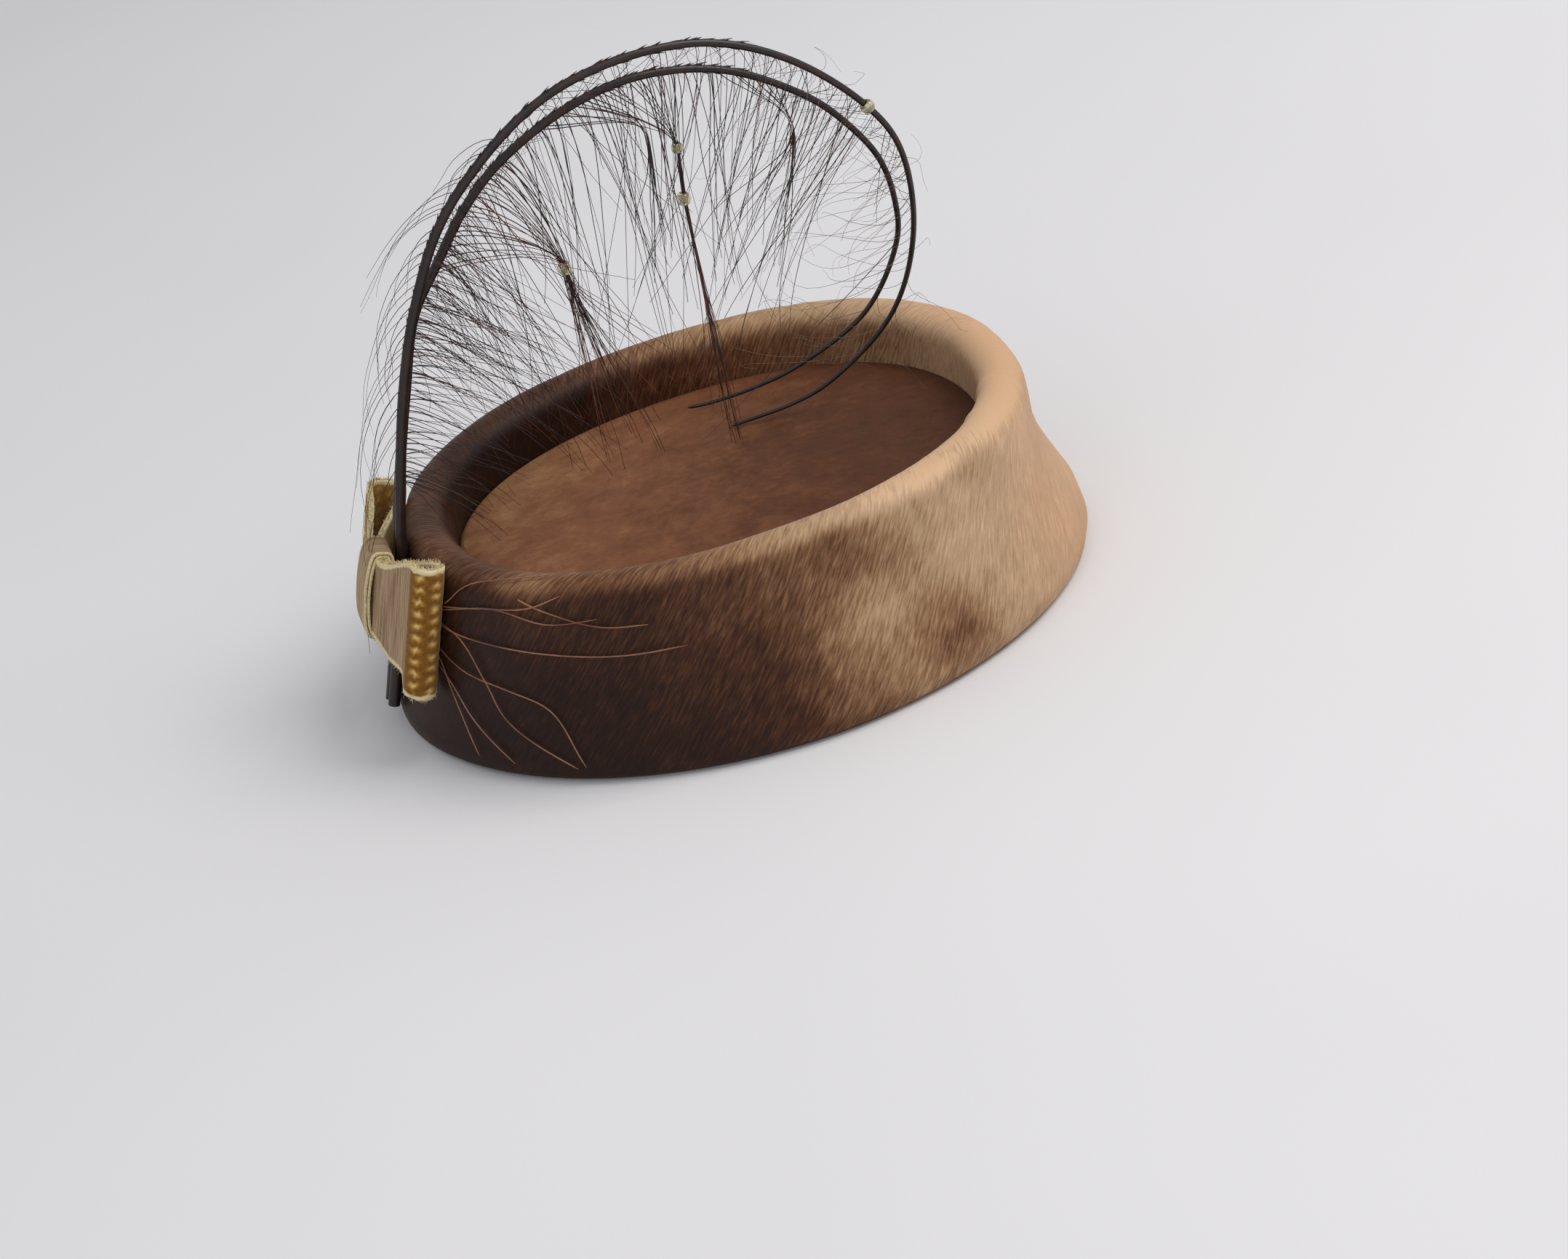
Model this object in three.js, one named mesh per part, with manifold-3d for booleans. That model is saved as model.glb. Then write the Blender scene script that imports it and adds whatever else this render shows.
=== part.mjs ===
// A cocktail pillbox hat of the 1950s: a rolled velvet band, a sunken crown, a flat ribbon bow at the back,
// and two stripped quills that rise behind the bow and curl forward over the crown with their long barbs.
// Millimetres. +X is the front of the hat, +Y the wearer's left, +Z up, and the hem stands on z = 0.
import * as THREE from "three";
import { mergeVertices } from "three/addons/utils/BufferGeometryUtils.js";
import Module from "manifold-3d";

const wasm = await Module();
wasm.setup();

// Sizes of the band. The hem is an oval that fits the head, and the roll is the padded top edge.
const hemLength = 195;
const hemWidth = 169.6;
const hemSquareness = 1.95;
const hemTuck = 4;
const hemFace = 3;
const rollLength = 168.4;
const rollWidth = 149.4;
const rollSquareness = 2.17;
const rollForward = 2.2;
const rollRadius = 6.3;
const bandHeight = 53;
const frontRise = 2.8;
const wall = 2.5;

// Sizes of the crown, a stiffened oval set down inside the roll.
const crownSink = 15.5;
const crownDome = 2.6;
const crownThickness = 2;
const seamGap = 0.35;

// Sizes of the quills and their barbs.
const quillButtRise = 6.5;
const quillButtRadius = 1.6;
const quillTipRadius = 0.5;
const quillSpread = 1.95;
const archSpread = 4;
const loopForward = 82.5;
const loopRise = 39;
const loopRadius = 70;
const outerTipSide = 25;
const innerTipSide = 30;
const tipGap = 0.4;
const outerTipForward = 12.95;
const barbLength = 70;
const barbRootRadius = 0.8;
const barbTipRadius = 0.35;
const barbLocks = 20;
const barbSideDrift = 3;

// Sizes of the bow, a cut velvet ribbon folded into two flat loops and wrapped at its waist.
const bowRise = 38;
const loopReach = 31.5;
const loopHeight = 36;
const nearLoopDepth = 8.6;
const farLoopDepth = 10.5;
const waistHeight = 21.2;
const waistSpacing = 2.1;
const ribbonThickness = 1.6;
const wrapWidth = 13;
const wrapThickness = 1.5;
const wrapBulge = 0.9;

// Sizes of the glass beads that the longest barbs are gathered through.
const beadHoleRadius = 0.95;
const beadRadius = 1.95;
const smallBeadRadius = 1.6;
const quillBeadWall = 0.7;

// How finely the curved shapes are cut into facets.
const bandSegments = 64;
const rollSegments = 8;
const quillSteps = 56;
const quillSides = 6;
const barbSteps = 5;
const barbSides = 5;
const foldSteps = 6;
const beadSteps = 6;
const beadSides = 12;
const mergeDistance = 1e-4;

// The outside face of the band from hem to roll. rise and hollow are shares: rise of the height up to the
// middle of the roll, hollow of frontHollow, by which the front of the band sweeps in below the roll.
const frontHollow = 2.3;
const bandProfile = [
  { rise: 0, tuck: 1, hollow: 0 },
  { rise: 0.04, tuck: 0.36, hollow: 0 },
  { rise: 0.11, tuck: 0.06, hollow: -0.2 },
  { rise: 0.24, tuck: 0, hollow: -0.25 },
  { rise: 0.42, tuck: 0, hollow: 0.45 },
  { rise: 0.6, tuck: 0, hollow: 0.95 },
  { rise: 0.76, tuck: 0, hollow: 0.95 },
  { rise: 0.9, tuck: 0, hollow: 0.35 },
];

// The quills' loops. turn is in degrees around the loop, from 0 at the back over 90 at the top to 180 at
// the front, and reach is a share of loopRadius.
const outerLoop = [
  { turn: -16, reach: 1.16 },
  { turn: 0, reach: 1.015 },
  { turn: 17, reach: 0.942 },
  { turn: 37, reach: 0.92 },
  { turn: 56, reach: 0.914 },
  { turn: 74, reach: 0.936 },
  { turn: 92, reach: 0.957 },
  { turn: 111, reach: 0.988 },
  { turn: 130, reach: 0.999 },
  { turn: 152, reach: 1.026 },
  { turn: 165, reach: 1.038 },
  { turn: 185, reach: 0.999 },
  { turn: 205, reach: 0.951 },
  { turn: 227, reach: 0.861 },
  { turn: 238, reach: 0.814 },
];
const outerTipTurn = 255;
const innerLoop = [
  { turn: -17, reach: 1.164 },
  { turn: -3, reach: 1.013 },
  { turn: 14, reach: 0.927 },
  { turn: 27, reach: 0.858 },
  { turn: 40, reach: 0.832 },
  { turn: 56, reach: 0.817 },
  { turn: 79, reach: 0.818 },
  { turn: 98, reach: 0.844 },
  { turn: 119, reach: 0.87 },
  { turn: 142, reach: 0.903 },
  { turn: 155, reach: 0.932 },
  { turn: 167, reach: 0.963 },
  { turn: 178, reach: 0.967 },
  { turn: 188, reach: 0.956 },
  { turn: 207, reach: 0.873 },
  { turn: 229, reach: 0.736 },
  { turn: 242, reach: 0.682 },
  { turn: 257, reach: 0.647 },
  { turn: 266, reach: 0.636 },
];
// The quills start to lean towards their tips' side at leanTurn, slowly at first, and draw apart from the
// spread at the wall to that of the arch between two turns.
const leanTurn = 100;
const leanPower = 1.5;
const spreadFromTurn = -20;
const spreadToTurn = 60;

// Places of a quill on its way up the wall, as shares of the height from its butt to the roll, and the place
// over the rim, as shares of rollRadius.
const quillWallShares = [0.35, 0.7];
const rimInShare = 0.25;
const rimUpShare = 0.3;
const quillTaperPower = 1.1;

// The search for a turn starts past the wall, at this share of the quill, and goes on in small steps.
const turnSearchStart = 0.15;
const turnSearchStep = 0.002;
const beforeFirstTurn = -90;

// How the barbs hang: sweep is the angle from straight down towards the front, length a share of barbLength.
const barbHang = [
  { turn: -9, sweep: 50, length: 0.42 },
  { turn: 15, sweep: 38, length: 0.8 },
  { turn: 40, sweep: 22, length: 1 },
  { turn: 70, sweep: 6, length: 1.1 },
  { turn: 100, sweep: -3, length: 1.2 },
  { turn: 130, sweep: -13, length: 1.1 },
  { turn: 150, sweep: -28, length: 0.95 },
  { turn: 170, sweep: -46, length: 0.75 },
  { turn: 190, sweep: -62, length: 0.5 },
];

// The bend of a lock near its root, as shares of its length inwards and down and of barbSideDrift.
const bendInShare = 0.2;
const bendDownShare = 0.15;
const bendSideShare = 0.3;

// The beads: which quill's lock each is threaded on, and how far down that lock, as a share of its length.
const threadedBeads = [
  { quill: "inner", lock: 6, along: 0.46, radius: beadRadius },
  { quill: "inner", lock: 11, along: 0.25, radius: smallBeadRadius },
  { quill: "inner", lock: 11, along: 0.42, radius: beadRadius },
];
const quillBeadTurn = 152;

// The crown's rings, as shares of its reach, and where a ribbon loop has grown to its full height, as a share
// of loopReach. wrapFlatShare is how much of the wrap's height bulges evenly.
const crownRings = [0.03, 0.4, 0.75, 1];
const fullHeightShare = 0.9;
const wrapFlatShare = 0.4;

const velvet = new THREE.MeshStandardMaterial({ color: 0x8a6a4f, roughness: 0.6, metalness: 0 });
const crownCloth = new THREE.MeshStandardMaterial({ color: 0x8c6048, roughness: 0.8, metalness: 0 });
const quillHorn = new THREE.MeshStandardMaterial({ color: 0x1d1513, roughness: 0.4, metalness: 0 });
const ribbonVelvet = new THREE.MeshStandardMaterial({ color: 0x96743e, roughness: 0.85, metalness: 0 });
const paleGlass = new THREE.MeshStandardMaterial({ color: 0xe6dcae, roughness: 0.1, metalness: 0 });

const degree = Math.PI / 180;
const mix = THREE.MathUtils.lerp;

// A value from a table's column, straight between the rows on either side.
function fromTable(rows, key, at, column) {
  const next = rows.findIndex((row) => row[key] >= at);
  if (next <= 0) return rows[next === 0 ? 0 : rows.length - 1][column];
  const share = (at - rows[next - 1][key]) / (rows[next][key] - rows[next - 1][key]);
  return mix(rows[next - 1][column], rows[next][column], share);
}

// One closed skin through rings of points, each ring with the same count. The first and last ring are
// capped, or joined to each other where the skin runs round in a loop.
function skin(rings, joined = false) {
  const count = rings[0].length;
  const faces = [];
  const spans = joined ? rings.length : rings.length - 1;
  for (let i = 0; i < spans; i++) {
    for (let j = 0; j < count; j++) {
      const a = i * count + j;
      const b = i * count + ((j + 1) % count);
      const c = ((i + 1) % rings.length) * count + ((j + 1) % count);
      const d = ((i + 1) % rings.length) * count + j;
      faces.push(a, b, c, a, c, d);
    }
  }
  if (!joined) {
    const last = (rings.length - 1) * count;
    for (let j = 1; j < count - 1; j++) {
      faces.push(0, j + 1, j);
      faces.push(last, last + j, last + j + 1);
    }
  }
  const geometry = new THREE.BufferGeometry().setFromPoints(rings.flat());
  geometry.setIndex(faces);
  geometry.computeVertexNormals();
  return geometry;
}

// A tapered rod along a curve.
function taperedRod(curve, steps, sides, radiusAt) {
  const frames = curve.computeFrenetFrames(steps, false);
  const rings = [];
  for (let i = 0; i <= steps; i++) {
    const centre = curve.getPointAt(i / steps);
    const ring = [];
    for (let j = 0; j < sides; j++) {
      const angle = (2 * Math.PI * j) / sides;
      const out = frames.normals[i].clone().multiplyScalar(Math.cos(angle));
      out.addScaledVector(frames.binormals[i], Math.sin(angle));
      ring.push(centre.clone().addScaledVector(out, radiusAt(i / steps)));
    }
    rings.push(ring);
  }
  return skin(rings);
}

function solidOf(geometry) {
  const bare = new THREE.BufferGeometry();
  bare.setAttribute("position", geometry.getAttribute("position"));
  bare.setIndex(geometry.index);
  const merged = mergeVertices(bare, mergeDistance);
  const vertProperties = merged.attributes.position.array;
  return new wasm.Manifold(new wasm.Mesh({ numProp: 3, vertProperties, triVerts: new Uint32Array(merged.index.array) }));
}

function geometryOf(solid) {
  const mesh = solid.getMesh();
  const geometry = new THREE.BufferGeometry();
  geometry.setAttribute("position", new THREE.BufferAttribute(new Float32Array(mesh.vertProperties), 3));
  geometry.setIndex(new THREE.BufferAttribute(new Uint32Array(mesh.triVerts), 1));
  geometry.computeVertexNormals();
  return geometry;
}

function piece(name, geometry, material) {
  const mesh = new THREE.Mesh(geometry, material);
  mesh.name = name;
  return mesh;
}

// Heights that several pieces share.
const rollCentre = bandHeight - rollRadius;
const crownEdge = bandHeight - crownSink;

// A point of the band's outline: rise 0 is the hem and 1 the roll, and offset is outwards.
function outline(rise, angle, offset) {
  const squareness = mix(hemSquareness, rollSquareness, rise);
  const c = Math.cos(angle);
  const s = Math.sin(angle);
  const reach = (Math.abs(c) ** squareness + Math.abs(s) ** squareness) ** (-1 / squareness);
  const halfLength = mix(hemLength, rollLength, rise) / 2 + offset;
  const halfWidth = mix(hemWidth, rollWidth, rise) / 2 + offset;
  return { x: rollForward * rise + halfLength * reach * c, y: halfWidth * reach * s };
}

// How much the top of the hat is lifted at a place x, because the roll rises a little to the front.
function lift(x) {
  return (frontRise * x) / rollLength;
}

function bandPoint(rise, angle, offset, height) {
  const at = outline(rise, angle, offset);
  return new THREE.Vector3(at.x, at.y, height + rise * lift(at.x));
}

// The band's section at one angle: up the outside, over the roll, and back behind the cloth to the hem.
function bandSection(angle) {
  const front = ((1 + Math.cos(angle)) / 2) ** 2;
  const offsetOf = (row) => -hemTuck * row.tuck - frontHollow * row.hollow * front;
  const section = bandProfile.map((row) => bandPoint(row.rise, angle, offsetOf(row), row.rise * rollCentre));
  const arc = (radius, from, to) => {
    for (let i = 0; i <= rollSegments; i++) {
      const around = mix(from, to, i / rollSegments);
      const offset = radius * Math.cos(around) - rollRadius;
      section.push(bandPoint(1, angle, offset, rollCentre + radius * Math.sin(around)));
    }
  };
  arc(rollRadius, 0, Math.PI);
  arc(rollRadius - wall, Math.PI, 0);
  for (const row of bandProfile.slice(2).reverse()) {
    section.push(bandPoint(row.rise, angle, offsetOf(row) - wall, row.rise * rollCentre));
  }
  section.push(bandPoint(0, angle, -hemTuck - hemFace, 0));
  return section;
}

function band() {
  const rings = [];
  for (let i = 0; i < bandSegments; i++) rings.push(bandSection((-2 * Math.PI * i) / bandSegments));
  return piece("band", skin(rings, true), velvet);
}

// The wall that drops from the inside of the roll to the crown.
function crownWall() {
  const foot = crownEdge - crownThickness;
  const head = rollCentre - seamGap;
  const inside = -2 * rollRadius;
  const rings = [];
  for (let i = 0; i < bandSegments; i++) {
    const angle = (-2 * Math.PI * i) / bandSegments;
    const at = (offset, height) => bandPoint(1, angle, offset, height);
    rings.push([at(inside, head), at(inside, foot), at(inside + wall, foot), at(inside + wall, head)]);
  }
  return piece("crown_wall", skin(rings, true), velvet);
}

// The crown's upper face at a place inside the roll.
function crownTop(x, y) {
  const halfLength = rollLength / 2 - 2 * rollRadius - seamGap;
  const halfWidth = rollWidth / 2 - 2 * rollRadius - seamGap;
  const away = Math.min(1, ((x - rollForward) / halfLength) ** 2 + (y / halfWidth) ** 2);
  return crownEdge + crownDome * (1 - away) + lift(x);
}

function crown() {
  const ringAt = (share, drop) => {
    const ring = [];
    for (let i = 0; i < bandSegments; i++) {
      const edge = outline(1, (2 * Math.PI * i) / bandSegments, -2 * rollRadius - seamGap);
      const x = rollForward + (edge.x - rollForward) * share;
      const y = edge.y * share;
      ring.push(new THREE.Vector3(x, y, crownEdge + crownDome * (1 - share ** 2) + lift(x) - drop));
    }
    return ring;
  };
  const rings = crownRings.map((share) => ringAt(share, crownThickness));
  rings.push(...crownRings.toReversed().map((share) => ringAt(share, 0)));
  return piece("crown", skin(rings), crownCloth);
}

// A quill's route: up the outside of the band at the centre back, over the rim and around its loop.
function quillCurve(loop, side, tipSide, restsOnCrown) {
  const points = [];
  const buttRise = quillButtRise / rollCentre;
  for (const share of [0, ...quillWallShares, 1]) {
    const rise = mix(buttRise, 1, share);
    const at = bandPoint(rise, Math.PI, quillButtRadius + seamGap, rise * rollCentre);
    points.push(new THREE.Vector3(at.x, side * quillSpread, at.z));
  }
  const rimOut = quillButtRadius + seamGap - rimInShare * rollRadius;
  const rim = bandPoint(1, Math.PI, rimOut, bandHeight + rimUpShare * rollRadius);
  points.push(new THREE.Vector3(rim.x, side * quillSpread, rim.z));
  const centre = new THREE.Vector3(rim.x + loopForward, 0, bandHeight + loopRise);
  const lastTurn = restsOnCrown ? outerTipTurn : loop.at(-1).turn;
  for (const { turn, reach } of loop) {
    const spread = mix(quillSpread, archSpread, THREE.MathUtils.smoothstep(turn, spreadFromTurn, spreadToTurn));
    const lean = Math.max(0, (turn - leanTurn) / (lastTurn - leanTurn)) ** leanPower;
    points.push(
      new THREE.Vector3(
        centre.x - loopRadius * reach * Math.cos(turn * degree),
        mix(side * spread, tipSide, lean),
        centre.z + loopRadius * reach * Math.sin(turn * degree),
      ),
    );
  }
  if (restsOnCrown) {
    const x = centre.x + outerTipForward;
    points.push(new THREE.Vector3(x, tipSide, crownTop(x, tipSide) + tipGap + quillTipRadius));
  }
  return { curve: new THREE.CatmullRomCurve3(points, false, "centripetal"), centre };
}

// The place along a quill where its loop has come round to a turn.
function shareAtTurn({ curve, centre }, turn) {
  let last = beforeFirstTurn;
  for (let share = turnSearchStart; share < 1; share += turnSearchStep) {
    const at = curve.getPointAt(share);
    let here = Math.atan2(at.z - centre.z, centre.x - at.x) / degree;
    if (here < last - 180) here += 360;
    if (here >= turn) return share;
    last = here;
  }
  return 1;
}

// One lock of barbs: it leaves the quill along the loop, and then hangs down with its sweep.
function barbCurve(quill, turn, side) {
  const share = shareAtTurn(quill, turn);
  const root = quill.curve.getPointAt(share);
  const sweep = fromTable(barbHang, "turn", turn, "sweep") * degree;
  const length = barbLength * fromTable(barbHang, "turn", turn, "length");
  const down = new THREE.Vector3(Math.sin(sweep), 0, -Math.cos(sweep));
  const inwards = new THREE.Vector3(quill.centre.x - root.x, 0, quill.centre.z - root.z).normalize();
  const bend = root.clone().addScaledVector(inwards, length * bendInShare);
  bend.addScaledVector(down, length * bendDownShare);
  bend.y += side * barbSideDrift * bendSideShare;
  const end = root.clone().addScaledVector(down, length);
  end.y += side * barbSideDrift;
  return new THREE.QuadraticBezierCurve3(root, bend, end);
}

function quillRadius(share) {
  return mix(quillButtRadius, quillTipRadius, share ** quillTaperPower);
}

function makeQuill(loop, side, tipSide, restsOnCrown) {
  const quill = quillCurve(loop, side, tipSide, restsOnCrown);
  const first = barbHang[0].turn;
  const last = barbHang.at(-1).turn;
  quill.locks = [];
  for (let i = 0; i < barbLocks; i++) {
    quill.locks.push(barbCurve(quill, mix(first, last, i / (barbLocks - 1)), side));
  }
  let solid = solidOf(taperedRod(quill.curve, quillSteps, quillSides, quillRadius));
  const lockRadius = (share) => mix(barbRootRadius, barbTipRadius, share);
  for (const lock of quill.locks) solid = solid.add(solidOf(taperedRod(lock, barbSteps, barbSides, lockRadius)));
  quill.geometry = geometryOf(solid);
  return quill;
}

// A drilled bead, round a rod that passes through it.
function bead(name, at, along, radius, holeRadius) {
  const profile = [];
  const opening = Math.asin(holeRadius / radius);
  for (let i = 0; i <= beadSteps; i++) {
    const angle = mix(opening, Math.PI - opening, i / beadSteps);
    profile.push(new THREE.Vector2(radius * Math.sin(angle), -radius * Math.cos(angle)));
  }
  profile.push(profile[0].clone());
  const mesh = piece(name, new THREE.LatheGeometry(profile, beadSides), paleGlass);
  mesh.position.copy(at);
  mesh.quaternion.setFromUnitVectors(new THREE.Vector3(0, 1, 0), along);
  return mesh;
}

// The bow is made in the plane of the band's back wall: out is away from the band, side across, up its height.
const bowRiseShare = bowRise / rollCentre;
const wallFoot = bandPoint(0, Math.PI, 0, 0);
const wallHead = bandPoint(1, Math.PI, 0, rollCentre);
const wallSlope = Math.atan2(wallHead.x - wallFoot.x, wallHead.z - wallFoot.z);

// How far the band's round wall has fallen away at a place to the side of the centre back.
function wallFall(side) {
  const back = outline(bowRiseShare, Math.PI, 0).x;
  const reach = outline(bowRiseShare, Math.PI / 2, 0).y;
  const squareness = mix(hemSquareness, rollSquareness, bowRiseShare);
  const halfLength = mix(hemLength, rollLength, bowRiseShare) / 2;
  const x = rollForward * bowRiseShare - halfLength * (1 - Math.abs(side / reach) ** squareness) ** (1 / squareness);
  return (x - back) * Math.cos(wallSlope);
}

// Where the layers lie at the waist, counted outwards from the band's wall.
const quillDepth = 2 * quillButtRadius + 2 * seamGap;
const wrapFloor = quillDepth + seamGap;
const innerLayer = wrapFloor + wrapThickness + seamGap + ribbonThickness / 2;
const outerLayer = innerLayer + waistSpacing;
const wrapRoof = outerLayer + ribbonThickness / 2 + seamGap;

// The plan of one loop as a line of places: out along the band, round the fold and back over it.
function loopPlan(depth) {
  const foldRadius = (depth - ribbonThickness) / 2;
  const foldSide = loopReach - ribbonThickness / 2 - foldRadius;
  const restingOut = (side) => 2 * seamGap + ribbonThickness / 2 - wallFall(side);
  const rows = [
    { share: 0, down: 0 },
    { share: 0.3, down: 0.35 },
    { share: 0.62, down: 0.8 },
    { share: 0.88, down: 0.97 },
  ];
  const sideOf = (share) => mix(wrapWidth / 2 + seamGap, foldSide, share);
  const plan = [{ out: innerLayer, side: seamGap / 2 }];
  for (const { share, down } of rows) {
    const side = sideOf(share);
    plan.push({ out: mix(innerLayer, restingOut(side), down), side });
  }
  const foldOut = restingOut(foldSide) + foldRadius;
  for (let i = 0; i <= foldSteps; i++) {
    const angle = mix(-90, 90, i / foldSteps) * degree;
    plan.push({ out: foldOut + foldRadius * Math.sin(angle), side: foldSide + foldRadius * Math.cos(angle) });
  }
  for (const { share, down } of rows.toReversed()) {
    plan.push({ out: mix(outerLayer, foldOut + foldRadius, down), side: sideOf(share) });
  }
  plan.push({ out: outerLayer, side: seamGap / 2 });
  return plan;
}

// A ribbon loop: its height grows from the gathered waist to the full width of the ribbon at the fold.
function bowLoop(name, direction, depth) {
  const plan = loopPlan(depth);
  const rings = plan.map((at, i) => {
    const before = plan[Math.max(0, i - 1)];
    const after = plan[Math.min(plan.length - 1, i + 1)];
    const along = new THREE.Vector2(after.side - before.side, after.out - before.out).normalize();
    const grown = THREE.MathUtils.smoothstep(at.side, wrapWidth / 2 + seamGap, loopReach * fullHeightShare);
    const half = mix(waistHeight, loopHeight, grown) / 2;
    const corner = (thick, up) => {
      const side = at.side + along.y * thick;
      const out = at.out - along.x * thick;
      return new THREE.Vector3(-out, direction * side, up);
    };
    const t = ribbonThickness / 2;
    const ring = [corner(-t, -half), corner(t, -half), corner(t, 0), corner(t, half), corner(-t, half), corner(-t, 0)];
    return direction > 0 ? ring.toReversed() : ring;
  });
  return piece(name, skin(rings), ribbonVelvet);
}

// The wrap round the waist: a flat ribbon ring that bulges a little on its outside face.
function bowKnot() {
  const inside = { half: waistHeight / 2 + seamGap, floor: innerLayer - ribbonThickness / 2 - seamGap, roof: wrapRoof };
  const loopAt = (grow) => {
    const corner = grow > 0 ? wrapThickness : seamGap / 2;
    const floor = inside.floor - grow;
    const roof = inside.roof + grow;
    const half = inside.half + grow;
    const bulge = grow > 0 ? wrapBulge : 0;
    return [
      { out: floor, up: -half + corner },
      { out: floor, up: half - corner },
      { out: floor + corner / 2, up: half },
      { out: roof - corner, up: half },
      { out: roof, up: half - corner },
      { out: roof + bulge, up: half * wrapFlatShare },
      { out: roof + bulge, up: -half * wrapFlatShare },
      { out: roof, up: -half + corner },
      { out: roof - corner, up: -half },
      { out: floor + corner / 2, up: -half },
    ];
  };
  const inner = loopAt(0);
  const outer = loopAt(wrapThickness);
  const rings = outer.map((place, i) => {
    const near = (at, side) => new THREE.Vector3(-at.out, side, at.up);
    const half = wrapWidth / 2;
    return [near(place, -half), near(place, half), near(inner[i], half), near(inner[i], -half)];
  });
  return piece("bow_knot", skin(rings, true), ribbonVelvet);
}

function bow() {
  const group = new THREE.Group();
  group.add(bowLoop("bow_loop_right", -1, nearLoopDepth));
  group.add(bowLoop("bow_loop_left", 1, farLoopDepth));
  group.add(bowKnot());
  group.position.copy(bandPoint(bowRiseShare, Math.PI, 0, bowRise));
  group.rotation.y = wallSlope;
  return group;
}

const hat = new THREE.Group();
hat.add(band(), crownWall(), crown(), bow());

const outerQuill = makeQuill(outerLoop, -1, outerTipSide, true);
const innerQuill = makeQuill(innerLoop, 1, innerTipSide, false);
hat.add(piece("quill_outer", outerQuill.geometry, quillHorn));
hat.add(piece("quill_inner", innerQuill.geometry, quillHorn));

threadedBeads.forEach(({ quill, lock, along, radius }, i) => {
  const strand = (quill === "inner" ? innerQuill : outerQuill).locks[lock];
  hat.add(bead("bead_" + (i + 1), strand.getPointAt(along), strand.getTangentAt(along), radius, beadHoleRadius));
});
const beadShare = shareAtTurn(outerQuill, quillBeadTurn);
const quillHole = quillRadius(beadShare) + seamGap;
const quillBeadAt = outerQuill.curve.getPointAt(beadShare);
const quillBeadAlong = outerQuill.curve.getTangentAt(beadShare);
hat.add(bead("bead_4", quillBeadAt, quillBeadAlong, quillHole + quillBeadWall, quillHole));

// The hem stands on the ground, and the middle of the whole hat, bow included, is over the origin.
const fascinator = new THREE.Group();
fascinator.add(hat);
const extent = new THREE.Box3().setFromObject(hat, true);
const middle = extent.getCenter(new THREE.Vector3());
hat.position.set(-middle.x, -middle.y, -extent.min.z);

export default fascinator;
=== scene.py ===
# %% [markdown]
# A velvet pillbox hat with quills
#
# The subject is a small cocktail hat of the 1950s. A velvet band is rolled over at the top, an oval crown
# is sunk inside the roll, a flat ribbon bow sits at the centre back, and two stripped quills rise behind
# the bow and curl forward over the crown. This lesson dresses the hat's plain solids, which are loaded
# first and stay where they are. Every length is a real one, written in millimetres and turned to metres.

# %% Load the plain solids and set the units
import math
import random

import bmesh
import bpy
from mathutils import Matrix, Vector, noise


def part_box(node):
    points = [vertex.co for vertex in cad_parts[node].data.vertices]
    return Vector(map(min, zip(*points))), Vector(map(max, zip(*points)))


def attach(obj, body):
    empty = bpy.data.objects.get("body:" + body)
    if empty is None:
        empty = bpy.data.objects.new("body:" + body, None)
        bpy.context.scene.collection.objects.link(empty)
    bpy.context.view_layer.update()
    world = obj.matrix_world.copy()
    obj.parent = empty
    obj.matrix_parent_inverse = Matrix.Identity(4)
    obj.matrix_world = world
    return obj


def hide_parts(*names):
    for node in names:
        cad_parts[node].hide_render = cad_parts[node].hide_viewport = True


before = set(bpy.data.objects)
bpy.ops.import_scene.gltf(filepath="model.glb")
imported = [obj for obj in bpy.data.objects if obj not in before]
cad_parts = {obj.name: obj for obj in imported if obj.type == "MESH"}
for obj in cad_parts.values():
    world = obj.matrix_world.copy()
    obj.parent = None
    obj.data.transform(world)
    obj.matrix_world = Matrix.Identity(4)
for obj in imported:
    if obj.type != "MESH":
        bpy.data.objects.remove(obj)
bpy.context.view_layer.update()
MM = 0.001
TAU = 2 * math.pi
dice = random.Random(1955)

# %% [markdown]
# The camera stands a metre away, beside the hat's right and well above it, with a long lens so that the
# ovals stay calm. It leans a few degrees, which tips the hat forward in the picture. The hat itself
# stands level on its hem.

# %% Place the camera
ROLL_FORWARD = 2.2
crown_low, crown_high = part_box("crown")
HAT_SHIFT = (crown_low.x + crown_high.x) / 2 / MM - ROLL_FORWARD


def camera_at(azimuth, elevation, roll, distance, target, lens):
    """A camera that looks at target, with its angles in degrees and its distance in metres."""
    a, e = math.radians(azimuth), math.radians(elevation)
    back = Vector((math.sin(a) * math.cos(e), -math.cos(a) * math.cos(e), math.sin(e)))
    right = Matrix.Rotation(math.radians(roll), 3, back) @ Vector((math.cos(a), math.sin(a), 0))
    data = bpy.data.cameras.new("photo_camera")
    data.lens = lens
    data.sensor_width = 36
    made = bpy.data.objects.new("photo_camera", data)
    bpy.context.scene.collection.objects.link(made)
    place = Matrix((right, back.cross(right), back)).transposed().to_4x4()
    place.translation = target + back * distance
    made.matrix_world = place
    bpy.context.scene.camera = made
    return made


looked_at = Vector((8.96 + HAT_SHIFT, -1.51, -9.49)) * MM
camera = camera_at(
    azimuth=-9.0, elevation=27.8, roll=-14.16, distance=1.0, target=looked_at, lens=84.8
)
print("camera at", camera.matrix_world.translation)

# %% [markdown]
# Colours are written as the hex values that a picture editor shows. Those are sRGB, and Blender's nodes
# work with linear light, so one function turns the one into the other. A second function adds a node
# with its settings and links, and a third gives a finished bmesh its material and its place in the hat.

# %% Helpers for colours, nodes and pieces


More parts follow.
